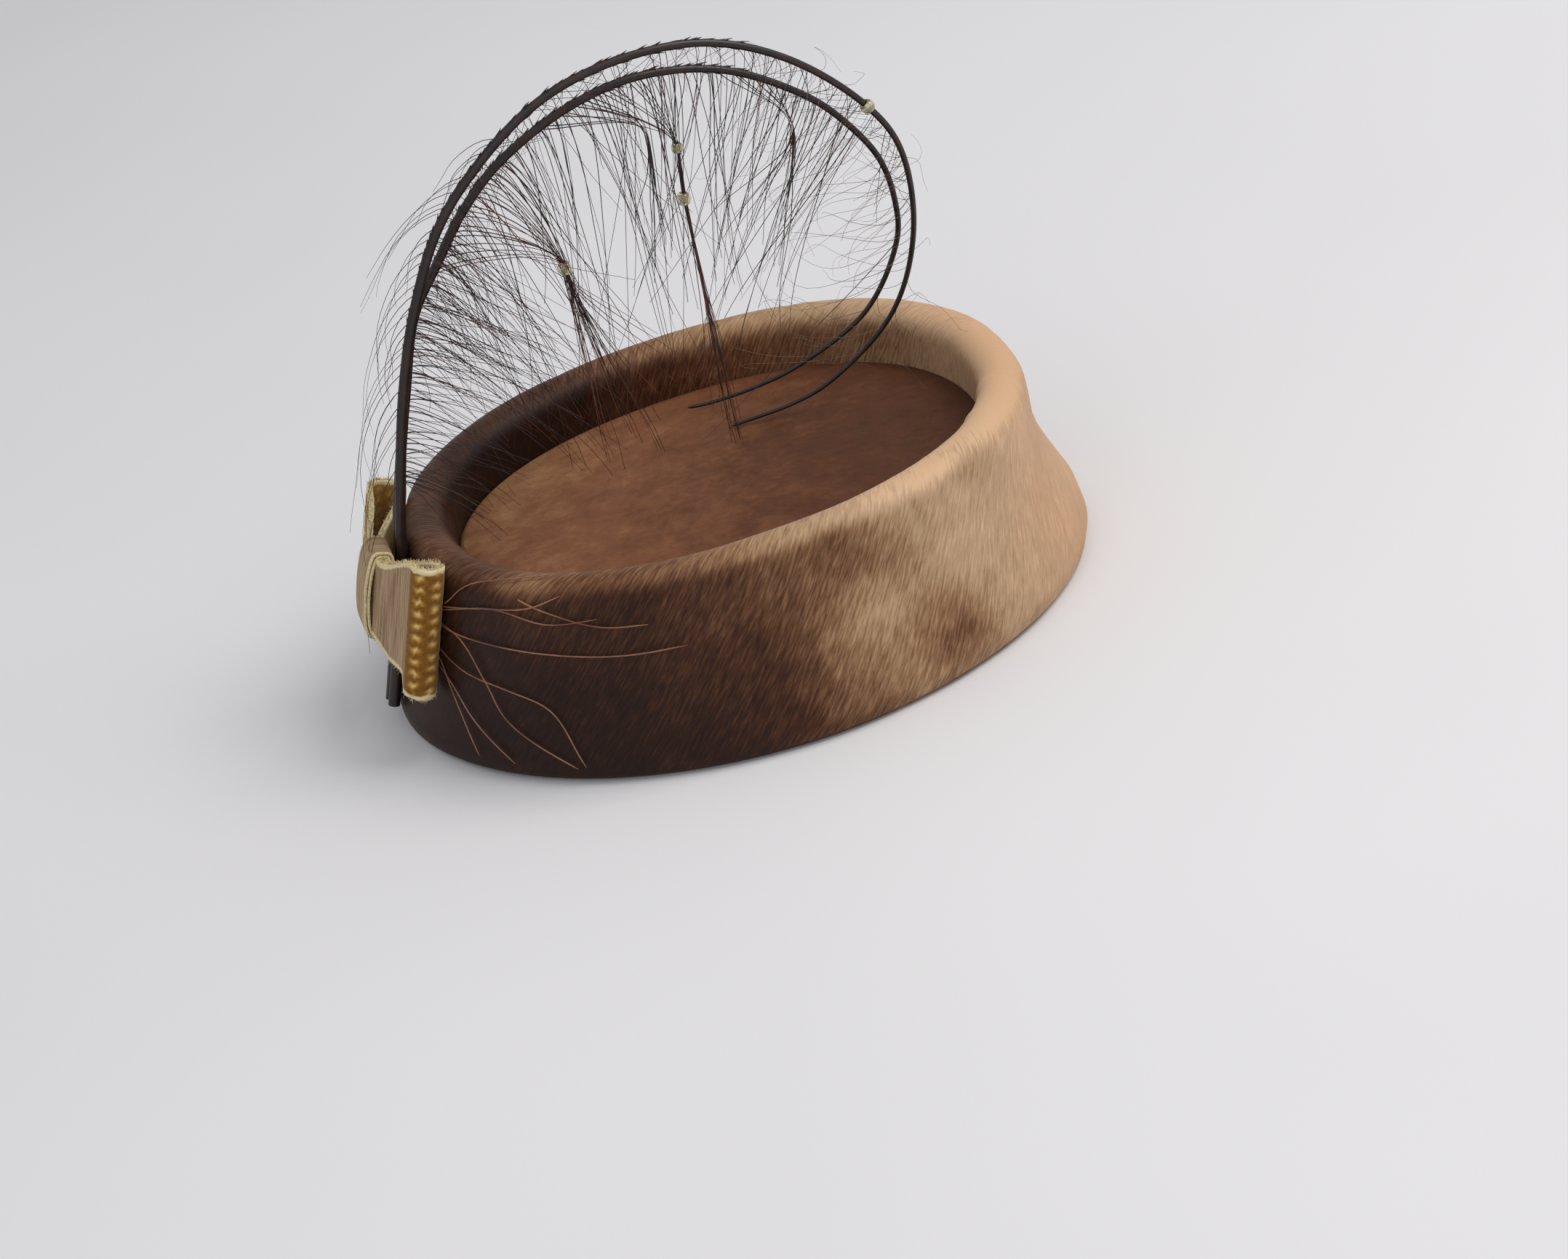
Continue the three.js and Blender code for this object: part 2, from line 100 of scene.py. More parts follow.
def linear(hex_colour):
    """The linear colour of an sRGB hex value such as #6B4630."""
    parts = [int(hex_colour[i : i + 2], 16) / 255 for i in (1, 3, 5)]
    bent = [c / 12.92 if c <= 0.04045 else ((c + 0.055) / 1.055) ** 2.4 for c in parts]
    return (*bent, 1.0)


def add_node(tree, kind, inputs=None, out=0, stops=(), **settings):
    """Adds a node with its settings, feeds its inputs with links or values, and gives one output."""
    node = tree.nodes.new(kind)
    for key, value in settings.items():
        setattr(node, key, value)
    for key, value in (inputs or {}).items():
        if isinstance(value, bpy.types.NodeSocket):
            tree.links.new(value, node.inputs[key])
        else:
            node.inputs[key].default_value = linear(value) if isinstance(value, str) else value
    if stops:
        while len(node.color_ramp.elements) < len(stops):
            node.color_ramp.elements.new(1.0)
        for element, (position, colour) in zip(node.color_ramp.elements, stops):
            element.position = position
            element.color = linear(colour)
    return node.outputs[out]


def new_material(name, **values):
    """A material with one Principled shader, whose own sockets take the plain values."""
    material = bpy.data.materials.new(name)
    material.use_nodes = True
    tree = material.node_tree
    tree.nodes.clear()
    shader = tree.nodes.new("ShaderNodeBsdfPrincipled")
    output = tree.nodes.new("ShaderNodeOutputMaterial")
    tree.links.new(shader.outputs[0], output.inputs["Surface"])
    for key, value in values.items():
        socket = shader.inputs[key.replace("_", " ")]
        socket.default_value = linear(value) if isinstance(value, str) else value
    return material, tree, shader


def place_piece(name, data, material, slot, *nodes):
    """Puts a mesh or curve in the scene, riding on the hat, in place of the nodes that it dresses."""
    piece = bpy.data.objects.new(name, data)
    bpy.context.scene.collection.objects.link(piece)
    data.materials.append(material)
    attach(piece, "root")
    if nodes:
        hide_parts(*nodes)
    return piece


def finish_mesh(name, bm, material, slot, *nodes):
    mesh = bpy.data.meshes.new(name)
    bm.to_mesh(mesh)
    bm.free()
    for face in mesh.polygons:
        face.use_smooth = True
    print(name, len(mesh.polygons), "faces")
    return place_piece(name, mesh, material, slot, *nodes)


def chain(bm, points, closed=False):
    """Vertices joined by edges, in the order given."""
    verts = [bm.verts.new(p) for p in points]
    pairs = list(zip(verts, verts[1:])) + ([(verts[-1], verts[0])] if closed else [])
    return verts, [bm.edges.new(pair) for pair in pairs]


# %% [markdown]
# The real band is panne velvet, a silk or rayon velvet whose pile is pressed flat in one direction. It
# shines like satin where the pile lies towards the light and turns nearly black where it lies away, so
# one cloth shows dark brown at the back and pale gold at the front, with smudges where it was touched.
# Here that shine is painted into the colour: the run from dark at the back to pale at the front is partly
# the pile's own tone and partly painted sheen, and the paler top of the roll is a painted highlight.
# The pile shows as short slanting strokes, which are about 0.3 mm apart in the real cloth. They are
# drawn 0.7 mm wide here, more than twice as coarse, because finer ones wouldn't show in the picture.

# %% The band's panne velvet
STROKE_WIDTH = 0.7
STROKE_LENGTH = 6.0
STROKE_SLANT = 54
SMUDGES = [
    # a place on the hat in mm, a radius, and how much paler or darker the pile lies there
    {"at": (42, -74, 12), "radius": 19, "pale": -0.24},
    {"at": (17, -76, 47), "radius": 22, "pale": -0.13},
    {"at": (58, -58, 53), "radius": 13, "pale": -0.20},
    {"at": (22, -77, 28), "radius": 17, "pale": 0.10},
    {"at": (48, -68, 34), "radius": 20, "pale": 0.08},
    {"at": (-10, -78, 14), "radius": 24, "pale": -0.10},
    {"at": (-62, -55, 54), "radius": 22, "pale": 0.16},
    {"at": (78, -45, 44), "radius": 16, "pale": 0.05},
    {"at": (30, 77, 30), "radius": 22, "pale": -0.18},
    {"at": (60, 60, 20), "radius": 22, "pale": 0.12},
    {"at": (-30, 74, 28), "radius": 26, "pale": 0.10},
]
PILE_SHADES = [
    (0.00, "#1E0C05"),
    (0.15, "#2F160A"),
    (0.30, "#482916"),
    (0.45, "#68452D"),
    (0.60, "#8B684A"),
    (0.75, "#A88A69"),
    (0.88, "#B8987A"),
    (1.00, "#CDA985"),
]


def pile_strokes(tree, slant):
    """Short slanting strokes that follow the cloth, on the piece's own UV map in metres."""
    cloth = add_node(tree, "ShaderNodeUVMap", uv_map="cloth")
    turn = {"Vector": cloth, "Rotation": (0, 0, math.radians(-slant))}
    turned = add_node(tree, "ShaderNodeMapping", turn)
    stretch = {"Vector": turned, "Scale": (1 / (STROKE_LENGTH * MM), 1 / (STROKE_WIDTH * MM), 1)}
    stretched = add_node(tree, "ShaderNodeMapping", stretch)
    return add_node(
        tree,
        "ShaderNodeTexNoise",
        {"Vector": stretched, "Scale": 1.0, "Detail": 2.0, "Roughness": 0.6},
        noise_dimensions="2D",
    )


def add_scaled(tree, base, value, scale, middle=0.0):
    """base + (value - middle) * scale, in two steps of arithmetic."""
    centred = add_node(tree, "ShaderNodeMath", {0: value, 1: middle}, operation="SUBTRACT")
    return add_node(tree, "ShaderNodeMath", {0: centred, 1: scale, 2: base}, operation="MULTIPLY_ADD")


def eased(tree, value, low, high, start=0.0, end=1.0):
    """A smooth step of a value from start to end, as it goes from low to high."""
    reach = {"Value": value, "From Min": low, "From Max": high, "To Min": start, "To Max": end}
    return add_node(tree, "ShaderNodeMapRange", reach, interpolation_type="SMOOTHSTEP")


def near_spot(tree, place, spot):
    """How close the surface is to a spot, from 1 at its middle to 0 at its radius."""
    middle = tuple(Vector(spot["at"]) * MM)
    apart = add_node(tree, "ShaderNodeVectorMath", {0: place, 1: middle}, operation="SUBTRACT")
    distance = add_node(tree, "ShaderNodeVectorMath", {0: apart}, out="Value", operation="LENGTH")
    return eased(tree, distance, 0.0, spot["radius"] * MM, 1.0, 0.0)


def make_panne_velvet():
    material, tree, shader = new_material(
        "panne_velvet",
        Specular_IOR_Level=0.2,
        Sheen_Weight=0.05,
        Sheen_Roughness=0.4,
        Sheen_Tint="#F0CDA8",
    )
    place = add_node(tree, "ShaderNodeTexCoord", out="Object")
    forward = add_node(tree, "ShaderNodeSeparateXYZ", {"Vector": place}, out="X")
    height = add_node(tree, "ShaderNodeSeparateXYZ", {"Vector": place}, out="Z")
    across = add_node(tree, "ShaderNodeSeparateXYZ", {"Vector": place}, out="Y")
    normal = add_node(tree, "ShaderNodeNewGeometry", out="Normal")
    level = add_node(tree, "ShaderNodeSeparateXYZ", {"Vector": normal}, out="Z")

    # paler to the front, partly the pile's own tone and partly painted sheen; a little paler upwards and
    # brightest where the surface faces up over the top of the roll, which is painted light from above
    pale = add_scaled(tree, 0.10, eased(tree, forward, -62 * MM, 78 * MM), 0.74)
    pale = add_scaled(tree, pale, height, 2.2, 26 * MM)
    pale = add_scaled(tree, pale, eased(tree, level, 0.25, 0.9), 0.22)
    # darker towards the hat's far side: painted shade on the far roll and its inner wall, which also takes
    # the painted highlight off the far crest
    pale = add_scaled(tree, pale, eased(tree, across, -5 * MM, 50 * MM), -0.2)
    for spot in SMUDGES:
        pale = add_scaled(tree, pale, near_spot(tree, place, spot), spot["pale"])
    for per_metre, depth in ((34, 0.42), (210, 0.20)):
        clouds = {"Vector": place, "Scale": per_metre, "Detail": 4.0, "Roughness": 0.6}
        pale = add_scaled(tree, pale, add_node(tree, "ShaderNodeTexNoise", clouds), depth, 0.5)
    strokes = pile_strokes(tree, STROKE_SLANT)
    pale = add_scaled(tree, pale, strokes, 0.50, 0.5)
    colour = add_node(tree, "ShaderNodeValToRGB", {"Fac": pale}, stops=PILE_SHADES)
    peach = eased(tree, forward, 58 * MM, 98 * MM, 0.0, 0.5)
    warm = {0: peach, 6: colour, 7: "#C4946C"}
    colour = add_node(tree, "ShaderNodeMix", warm, out=2, data_type="RGBA")
    tree.links.new(colour, shader.inputs["Base Color"])

    relief = {"Height": strokes, "Strength": 0.35, "Distance": 0.22 * MM}
    tree.links.new(add_node(tree, "ShaderNodeBump", relief), shader.inputs["Normal"])
    tree.links.new(add_scaled(tree, 0.42, strokes, 0.18), shader.inputs["Roughness"])
    return material


panne_velvet = make_panne_velvet()
print("material", panne_velvet.name)

# %% [markdown]
# The band is one strip of cloth over a stiff form: up the outside, over a soft roll and down to the
# crown. A plain spin makes it round. The vertices are then moved out to the hat's oval, which is fuller
# at the hem, where it fits the head, than at the roll, and the front is swept in below the roll. The
# section is spun at a radius of 100 mm, so that a vertex's distance from 100 says how far out it lies.

# %% The hat's shape, shared by every piece
HEM_LENGTH, HEM_WIDTH, HEM_SQUARENESS = 195, 169.6, 1.95
HEM_TUCK, HEM_FACE = 4, 3
ROLL_LENGTH, ROLL_WIDTH, ROLL_SQUARENESS = 168.4, 149.4, 2.17
ROLL_RADIUS, BAND_HEIGHT, FRONT_RISE = 6.3, 53, 2.8
WALL, FRONT_HOLLOW = 2.5, 2.3
CROWN_SINK, CROWN_DOME, CROWN_THICKNESS = 15.5, 2.6, 2
SEAM_GAP = 0.35
ROLL_CENTRE = BAND_HEIGHT - ROLL_RADIUS
CROWN_EDGE = BAND_HEIGHT - CROWN_SINK
SPIN_RADIUS = 100

# rise is a share of the height to the middle of the roll, tuck and hollow are shares of their sizes
BAND_PROFILE = [
    {"rise": 0.0, "tuck": 1.0, "hollow": 0.0},
    {"rise": 0.04, "tuck": 0.36, "hollow": 0.0},
    {"rise": 0.11, "tuck": 0.06, "hollow": -0.2},
    {"rise": 0.24, "tuck": 0.0, "hollow": -0.25},
    {"rise": 0.42, "tuck": 0.0, "hollow": 0.45},
    {"rise": 0.6, "tuck": 0.0, "hollow": 0.95},
    {"rise": 0.76, "tuck": 0.0, "hollow": 0.95},
    {"rise": 0.9, "tuck": 0.0, "hollow": 0.35},
    {"rise": 1.0, "tuck": 0.0, "hollow": 0.0},
]


def mix(low, high, share):
    return low + (high - low) * share


def smoothstep(low, high, value):
    share = min(1.0, max(0.0, (value - low) / (high - low)))
    return share * share * (3 - 2 * share)


def from_table(rows, key, at, column):
    """A column of a table, straight between the rows on either side."""
    if at <= rows[0][key]:
        return rows[0][column]
    for low, high in zip(rows, rows[1:]):
        if at <= high[key]:
            return mix(low[column], high[column], (at - low[key]) / (high[key] - low[key]))
    return rows[-1][column]


def outline(rise, angle, offset):
    """A place on the hat's oval: rise 0 is the hem and 1 the roll, and offset is outwards."""
    squareness = mix(HEM_SQUARENESS, ROLL_SQUARENESS, rise)
    c, s = math.cos(angle), math.sin(angle)
    reach = (abs(c) ** squareness + abs(s) ** squareness) ** (-1 / squareness)
    half_length = mix(HEM_LENGTH, ROLL_LENGTH, rise) / 2 + offset
    half_width = mix(HEM_WIDTH, ROLL_WIDTH, rise) / 2 + offset
    return ROLL_FORWARD * rise + half_length * reach * c, half_width * reach * s


def lift(x):
    """How far the top of the hat is raised at a place, because the roll rises a little to the front."""
    return FRONT_RISE * x / ROLL_LENGTH


def hat_point(rise, angle, offset, height):
    x, y = outline(rise, angle, offset)
    return Vector((x, y, height + rise * lift(x)))


def to_metres(point):
    """From the hat's own millimetres to the shared frame in metres."""
    return Vector(((point[0] + HAT_SHIFT) * MM, point[1] * MM, point[2] * MM))


def crown_top(x, y):
    """The height of the crown's upper face at a place inside the roll."""
    half_length = ROLL_LENGTH / 2 - 2 * ROLL_RADIUS - SEAM_GAP
    half_width = ROLL_WIDTH / 2 - 2 * ROLL_RADIUS - SEAM_GAP
    away = min(1.0, ((x - ROLL_FORWARD) / half_length) ** 2 + (y / half_width) ** 2)
    return CROWN_EDGE + CROWN_DOME * (1 - away) + lift(x)


# %% Spin the band and shape it to the oval
BAND_STEPS = 320
OUTER_ROWS = 34
ROLL_ROWS = 20
WALL_ROWS = 8
INNER_ROWS = 6
ROW_CROWDING = 1.15
MEAN_RADIUS = 88
# places round the roll where the cloth is caught in a pucker: an angle and a depth in mm
PUCKERS = [
    (-0.62, 0.5), (-0.35, 0.55), (0.1, 0.25), (1.05, 0.6),
    (1.3, 0.4), (1.9, 0.3), (-2.2, 0.25), (2.8, 0.3),
]
PUCKER_WIDTH = 1.7


def band_section():
    """The band's closed section as (distance out from the outline, height, rise)."""
    rows = []
    for i in range(OUTER_ROWS):
        rise = (i / OUTER_ROWS) ** ROW_CROWDING
        rows.append((-HEM_TUCK * from_table(BAND_PROFILE, "rise", rise, "tuck"), rise * ROLL_CENTRE, rise))
    for i in range(ROLL_ROWS + 1):
        around = math.pi * i / ROLL_ROWS
        out, up = ROLL_RADIUS * (math.cos(around) - 1), ROLL_RADIUS * math.sin(around)
        rows.append((out, ROLL_CENTRE + up, 1.0))
    foot = CROWN_EDGE - CROWN_THICKNESS
    for i in range(1, WALL_ROWS + 1):
        rows.append((-2 * ROLL_RADIUS, mix(ROLL_CENTRE, foot, i / WALL_ROWS), 1.0))
    rows.append((-2 * ROLL_RADIUS + WALL, foot, 1.0))
    for i in range(INNER_ROWS):
        around = math.pi * (1 - i / (INNER_ROWS - 1))
        radius = ROLL_RADIUS - WALL
        out, up = radius * math.cos(around) - ROLL_RADIUS, radius * math.sin(around)
        rows.append((out, ROLL_CENTRE + up, 1.0))
    for i in range(1, INNER_ROWS + 1):
        rise = 1 - 0.9 * i / INNER_ROWS
        rows.append((-WALL, rise * ROLL_CENTRE, rise))
    rows.append((-HEM_TUCK - HEM_FACE, 0.0, 0.0))
    return rows


def unevenness(height, angle, rise):
    """How far cloth over wadding stands out or in: soft waves on the wall and puckers over the roll."""
    around = angle * MEAN_RADIUS
    soft = noise.noise(Vector((around / 24, height / 22, 3.0))) * 0.5
    creases = noise.noise(Vector((around / 2.4 + height / 9, height / 16, 8.0))) * 0.13
    creases *= smoothstep(0.75, 1.0, rise)
    for centre, depth in PUCKERS:
        apart = (angle - centre + math.pi) % TAU - math.pi
        pucker = depth * math.exp(-((apart * MEAN_RADIUS / PUCKER_WIDTH) ** 2))
        creases -= pucker * smoothstep(0.86, 1.0, rise)
    return (soft + creases) * smoothstep(0.0, 0.08, rise)


def make_band():
    bm = bmesh.new()
    rises = bm.verts.layers.float.new("rise")
    along = bm.verts.layers.float.new("along")
    outside = bm.verts.layers.float.new("outside")
    rows = band_section()
    points = [Vector((SPIN_RADIUS + out, 0, height)) for out, height, _ in rows]
    verts, edges = chain(bm, points, closed=True)
    travelled = 0.0
    for i, (vert, row) in enumerate(zip(verts, rows)):
        travelled += (points[i] - points[i - 1]).length if i else 0.0
        vert[rises] = row[2]
        vert[along] = travelled
        vert[outside] = 1.0 if i <= OUTER_ROWS + ROLL_ROWS + WALL_ROWS else 0.0
    spin = {"cent": (0, 0, 0), "axis": (0, 0, 1), "angle": TAU, "steps": BAND_STEPS, "use_merge": True}
    bmesh.ops.spin(bm, geom=verts + edges, **spin)
    bmesh.ops.recalc_face_normals(bm, faces=bm.faces)
    cloth = bm.loops.layers.uv.new("cloth")
    turned = {vert: math.atan2(vert.co.y, vert.co.x) for vert in bm.verts}
    for face in bm.faces:
        angles = [turned[loop.vert] for loop in face.loops]
        wraps = max(angles) - min(angles) > math.pi
        for loop, angle in zip(face.loops, angles):
            whole = angle + TAU if wraps and angle < 0 else angle
            loop[cloth].uv = (whole * MEAN_RADIUS * MM, loop.vert[along] * MM)
    for vert in bm.verts:
        angle = turned[vert]
        rise = vert[rises]
        front = ((1 + math.cos(angle)) / 2) ** 2
        offset = math.hypot(vert.co.x, vert.co.y) - SPIN_RADIUS
        offset -= FRONT_HOLLOW * from_table(BAND_PROFILE, "rise", rise, "hollow") * front
        point = hat_point(rise, angle, offset, vert.co.z)
        if vert[outside] > 0.5:
            point += Vector((math.cos(angle), math.sin(angle), 0)) * unevenness(vert.co.z, angle, rise)
        vert.co = to_metres(point)
    return finish_mesh("band_velvet", bm, panne_velvet, "band_velvet", "band", "crown_wall")


band = make_band()

# %% [markdown]
# The crown is an oval of buckram covered with the same kind of velvet, but here the pile is crushed: it
# lies in small patches that face all ways, reddish brown with a lighter sweep towards the back. A grid
# is cut, its square is eased into a disc so that no pole shows in the middle, and the disc is placed on
# the crown's gentle dome. Solidify gives it the thickness of the covered board.

# %% The crown's crushed velvet
CRUSH_PATCH = 9.0
CRUSH_MARK = 2.2


def make_crushed_velvet():
    material, tree, shader = new_material(
        "crushed_velvet",
        Roughness=0.72,
        Specular_IOR_Level=0.2,
        Sheen_Weight=0.12,
        Sheen_Roughness=0.45,
        Sheen_Tint="#D8A078",
    )
    place = add_node(tree, "ShaderNodeTexCoord", out="Object")
    forward = add_node(tree, "ShaderNodeSeparateXYZ", {"Vector": place}, out="X")
    side = add_node(tree, "ShaderNodeSeparateXYZ", {"Vector": place}, out="Y")
    patches = {"Vector": place, "Scale": 1 / (CRUSH_PATCH * MM), "Detail": 5.0, "Roughness": 0.62}
    patches = add_node(tree, "ShaderNodeTexNoise", patches)
    marks = {"Vector": place, "Scale": 1 / (CRUSH_MARK * MM), "Detail": 2.0, "Distortion": 0.8}
    marks = add_node(tree, "ShaderNodeTexNoise", marks)
    pale = add_scaled(tree, 0.47, eased(tree, forward, -70 * MM, 78 * MM), -0.34)
    pale = add_scaled(tree, pale, eased(tree, side, -10 * MM, 50 * MM), 0.10)
    pale = add_scaled(tree, pale, patches, 0.36, 0.5)
    pale = add_scaled(tree, pale, marks, 0.14, 0.5)
    shades = [(0.0, "#331A0E"), (0.25, "#55311D"), (0.45, "#7A4E33"), (0.62, "#9A7250"), (0.85, "#B8936C")]
    colour = add_node(tree, "ShaderNodeValToRGB", {"Fac": pale}, stops=shades)
    tree.links.new(colour, shader.inputs["Base Color"])
    both = add_scaled(tree, marks, patches, 2.0)
    relief = {"Height": both, "Strength": 0.4, "Distance": 0.35 * MM}
    tree.links.new(add_node(tree, "ShaderNodeBump", relief), shader.inputs["Normal"])
    return material


crushed_velvet = make_crushed_velvet()

# %% Ease a grid into the crown's disc
CROWN_CUTS = 100
CROWN_RELIEF = 0.3


def make_crown():
    bm = bmesh.new()
    bmesh.ops.create_grid(bm, x_segments=CROWN_CUTS, y_segments=CROWN_CUTS, size=1.0)
    for vert in bm.verts:
        u, v = vert.co.x, vert.co.y
        x, y = u * math.sqrt(1 - v * v / 2), v * math.sqrt(1 - u * u / 2)
        share = min(1.0, math.hypot(x, y))
        edge_x, edge_y = outline(1, math.atan2(y, x), -2 * ROLL_RADIUS - SEAM_GAP)
        x, y = ROLL_FORWARD + (edge_x - ROLL_FORWARD) * share, edge_y * share
        dents = noise.fractal(Vector((x / 15, y / 15, 1.0)), 1.0, 2.0, 3) * CROWN_RELIEF
        dome = CROWN_DOME * (1 - share**2) + dents * smoothstep(1.0, 0.9, share)
        vert.co = to_metres((x, y, CROWN_EDGE + dome + lift(x)))
    bmesh.ops.recalc_face_normals(bm, faces=bm.faces)
    piece = finish_mesh("crown_velvet", bm, crushed_velvet, "crown_velvet", "crown")
    board = piece.modifiers.new("board", "SOLIDIFY")
    board.thickness = CROWN_THICKNESS * 0.8 * MM
    board.offset = -1
    return piece


crown = make_crown()

# %% [markdown]
# The bow is a stiff ribbon of cotton velvet, folded into two flat loops and wrapped at the waist. Its
# outside is worn smooth and taupe, its fold still has golden pile, caught into two columns of small
# tufts by the weave, and its cut edges are cream and fuzzy. A loop starts as one upright line of
# vertices, which is extruded along the loop's plan, so that the ribbon stays one even sheet. The line is
# short at the waist, where the ribbon is gathered, and full at the fold.

# %% The ribbon's velvet
TUFT_PITCH = 3.3
TUFT_COLUMN = 2.0
TUFT_SIZE = 1.15


def make_ribbon_velvet():
    material, tree, shader = new_material(
        "cotton_velvet_ribbon",
        Roughness=0.82,
        Specular_IOR_Level=0.15,
        Sheen_Weight=0.35,
        Sheen_Roughness=0.5,
        Sheen_Tint="#F2DCA8",
    )
    place = add_node(tree, "ShaderNodeTexCoord", out="Object")
    worn = add_node(tree, "ShaderNodeAttribute", out="Fac", attribute_name="pile")
    tuft = add_node(tree, "ShaderNodeAttribute", out="Fac", attribute_name="tuft")
    edge = add_node(tree, "ShaderNodeAttribute", out="Fac", attribute_name="edge")
    fibres = {"Vector": place, "Scale": 1 / (0.9 * MM), "Detail": 3.0, "Roughness": 0.7}
    fibres = add_node(tree, "ShaderNodeTexNoise", fibres)
    cloth = add_node(tree, "ShaderNodeUVMap", uv_map="cloth")
    stretch = {"Vector": cloth, "Scale": (1 / (0.8 * MM), 1 / (14 * MM), 1)}
    lines = {"Vector": add_node(tree, "ShaderNodeMapping", stretch), "Scale": 1.0, "Detail": 2.0}
    lines = add_node(tree, "ShaderNodeTexNoise", lines, noise_dimensions="2D")
    back = [(0.3, "#7C6048"), (0.5, "#957A60"), (0.7, "#AB9176")]
    back = add_node(tree, "ShaderNodeValToRGB", {"Fac": lines}, stops=back)
    shade = add_scaled(tree, tuft, fibres, 0.5, 0.5)
    gold = [(0.0, "#5E3A0E"), (0.25, "#85591C"), (0.55, "#AF8440"), (0.9, "#D3B777")]
    gold = add_node(tree, "ShaderNodeValToRGB", {"Fac": shade}, stops=gold)
    colour = add_node(tree, "ShaderNodeMix", {0: worn, 6: back, 7: gold}, out=2, data_type="RGBA")
    fray = eased(tree, add_scaled(tree, edge, fibres, 0.5, 0.5), 0.35, 0.75)
    colour = add_node(tree, "ShaderNodeMix", {0: fray, 6: colour, 7: "#DACBA2"}, out=2, data_type="RGBA")
    tree.links.new(colour, shader.inputs["Base Color"])
    relief = {"Height": fibres, "Strength": 0.5, "Distance": 0.3 * MM}
    tree.links.new(add_node(tree, "ShaderNodeBump", relief), shader.inputs["Normal"])
    return material


ribbon_velvet = make_ribbon_velvet()

# %% The bow's layers and the plan of a loop
BOW_RISE, LOOP_REACH, LOOP_HEIGHT = 38, 31.5, 36
NEAR_LOOP_DEPTH, FAR_LOOP_DEPTH = 8.6, 10.5
WAIST_HEIGHT, WAIST_SPACING = 21.2, 2.1
RIBBON_THICKNESS = 1.6
WRAP_WIDTH, WRAP_THICKNESS, WRAP_BULGE = 13, 1.5, 0.9
QUILL_BUTT_RADIUS, QUILL_TIP_RADIUS = 1.6, 0.5

BOW_SHARE = BOW_RISE / ROLL_CENTRE
bow_base = hat_point(BOW_SHARE, math.pi, 0, BOW_RISE)
wall_foot = hat_point(0, math.pi, 0, 0)
wall_head = hat_point(1, math.pi, 0, ROLL_CENTRE)
WALL_SLOPE = math.atan2(wall_head.x - wall_foot.x, wall_head.z - wall_foot.z)
QUILL_DEPTH = 2 * QUILL_BUTT_RADIUS + 2 * SEAM_GAP
WRAP_FLOOR = QUILL_DEPTH + SEAM_GAP
INNER_LAYER = WRAP_FLOOR + WRAP_THICKNESS + SEAM_GAP + RIBBON_THICKNESS / 2
OUTER_LAYER = INNER_LAYER + WAIST_SPACING
WRAP_ROOF = OUTER_LAYER + RIBBON_THICKNESS / 2 + SEAM_GAP


def on_back(out, side, up):
    """A place by the band's back wall: out from it, across it to the hat's left, and up along it."""
    c, s = math.cos(WALL_SLOPE), math.sin(WALL_SLOPE)
    return Vector((bow_base.x - out * c + up * s, side, bow_base.z + out * s + up * c))


def wall_fall(side):
    """How far the band's round wall has fallen away at a place to the side of the centre back."""
    reach = outline(BOW_SHARE, math.pi / 2, 0)[1]
    squareness = mix(HEM_SQUARENESS, ROLL_SQUARENESS, BOW_SHARE)
    half_length = mix(HEM_LENGTH, ROLL_LENGTH, BOW_SHARE) / 2
    lost = 1 - (1 - abs(side / reach) ** squareness) ** (1 / squareness)
    return half_length * lost * math.cos(WALL_SLOPE)


SPLINE_CUTS = 24


def smooth_path(points, step):
    """Places at even steps on a smooth curve through the points, as a centripetal spline draws it."""
    points = [Vector(p) for p in points]
    whole = [points[0] * 2 - points[1], *points, points[-1] * 2 - points[-2]]
    fine = [points[0].copy()]
    for p0, p1, p2, p3 in zip(whole, whole[1:], whole[2:], whole[3:]):
        d0, d1, d2 = (max(1e-4, (b - a).length ** 0.5) for a, b in ((p0, p1), (p1, p2), (p2, p3)))
        start = ((p1 - p0) / d0 - (p2 - p0) / (d0 + d1) + (p2 - p1) / d1) * d1
        end = ((p2 - p1) / d1 - (p3 - p1) / (d1 + d2) + (p3 - p2) / d2) * d1
        for i in range(1, SPLINE_CUTS + 1):
            t = i / SPLINE_CUTS
            cubic = (p1 - p2) * 2 + start + end
            square = (p2 - p1) * 3 - start * 2 - end
            fine.append(p1 + start * t + square * t**2 + cubic * t**3)
    lengths = [0.0]
    for a, b in zip(fine, fine[1:]):
        lengths.append(lengths[-1] + (b - a).length)
    count = max(2, round(lengths[-1] / step))
    places, at = [], 0
    for i in range(count + 1):
        wanted = lengths[-1] * i / count
        while at < len(fine) - 2 and lengths[at + 1] < wanted:
            at += 1
        share = (wanted - lengths[at]) / max(1e-6, lengths[at + 1] - lengths[at])
        places.append(fine[at].lerp(fine[at + 1], min(1.0, share)))
    return places


FOLD_PLACES = 9


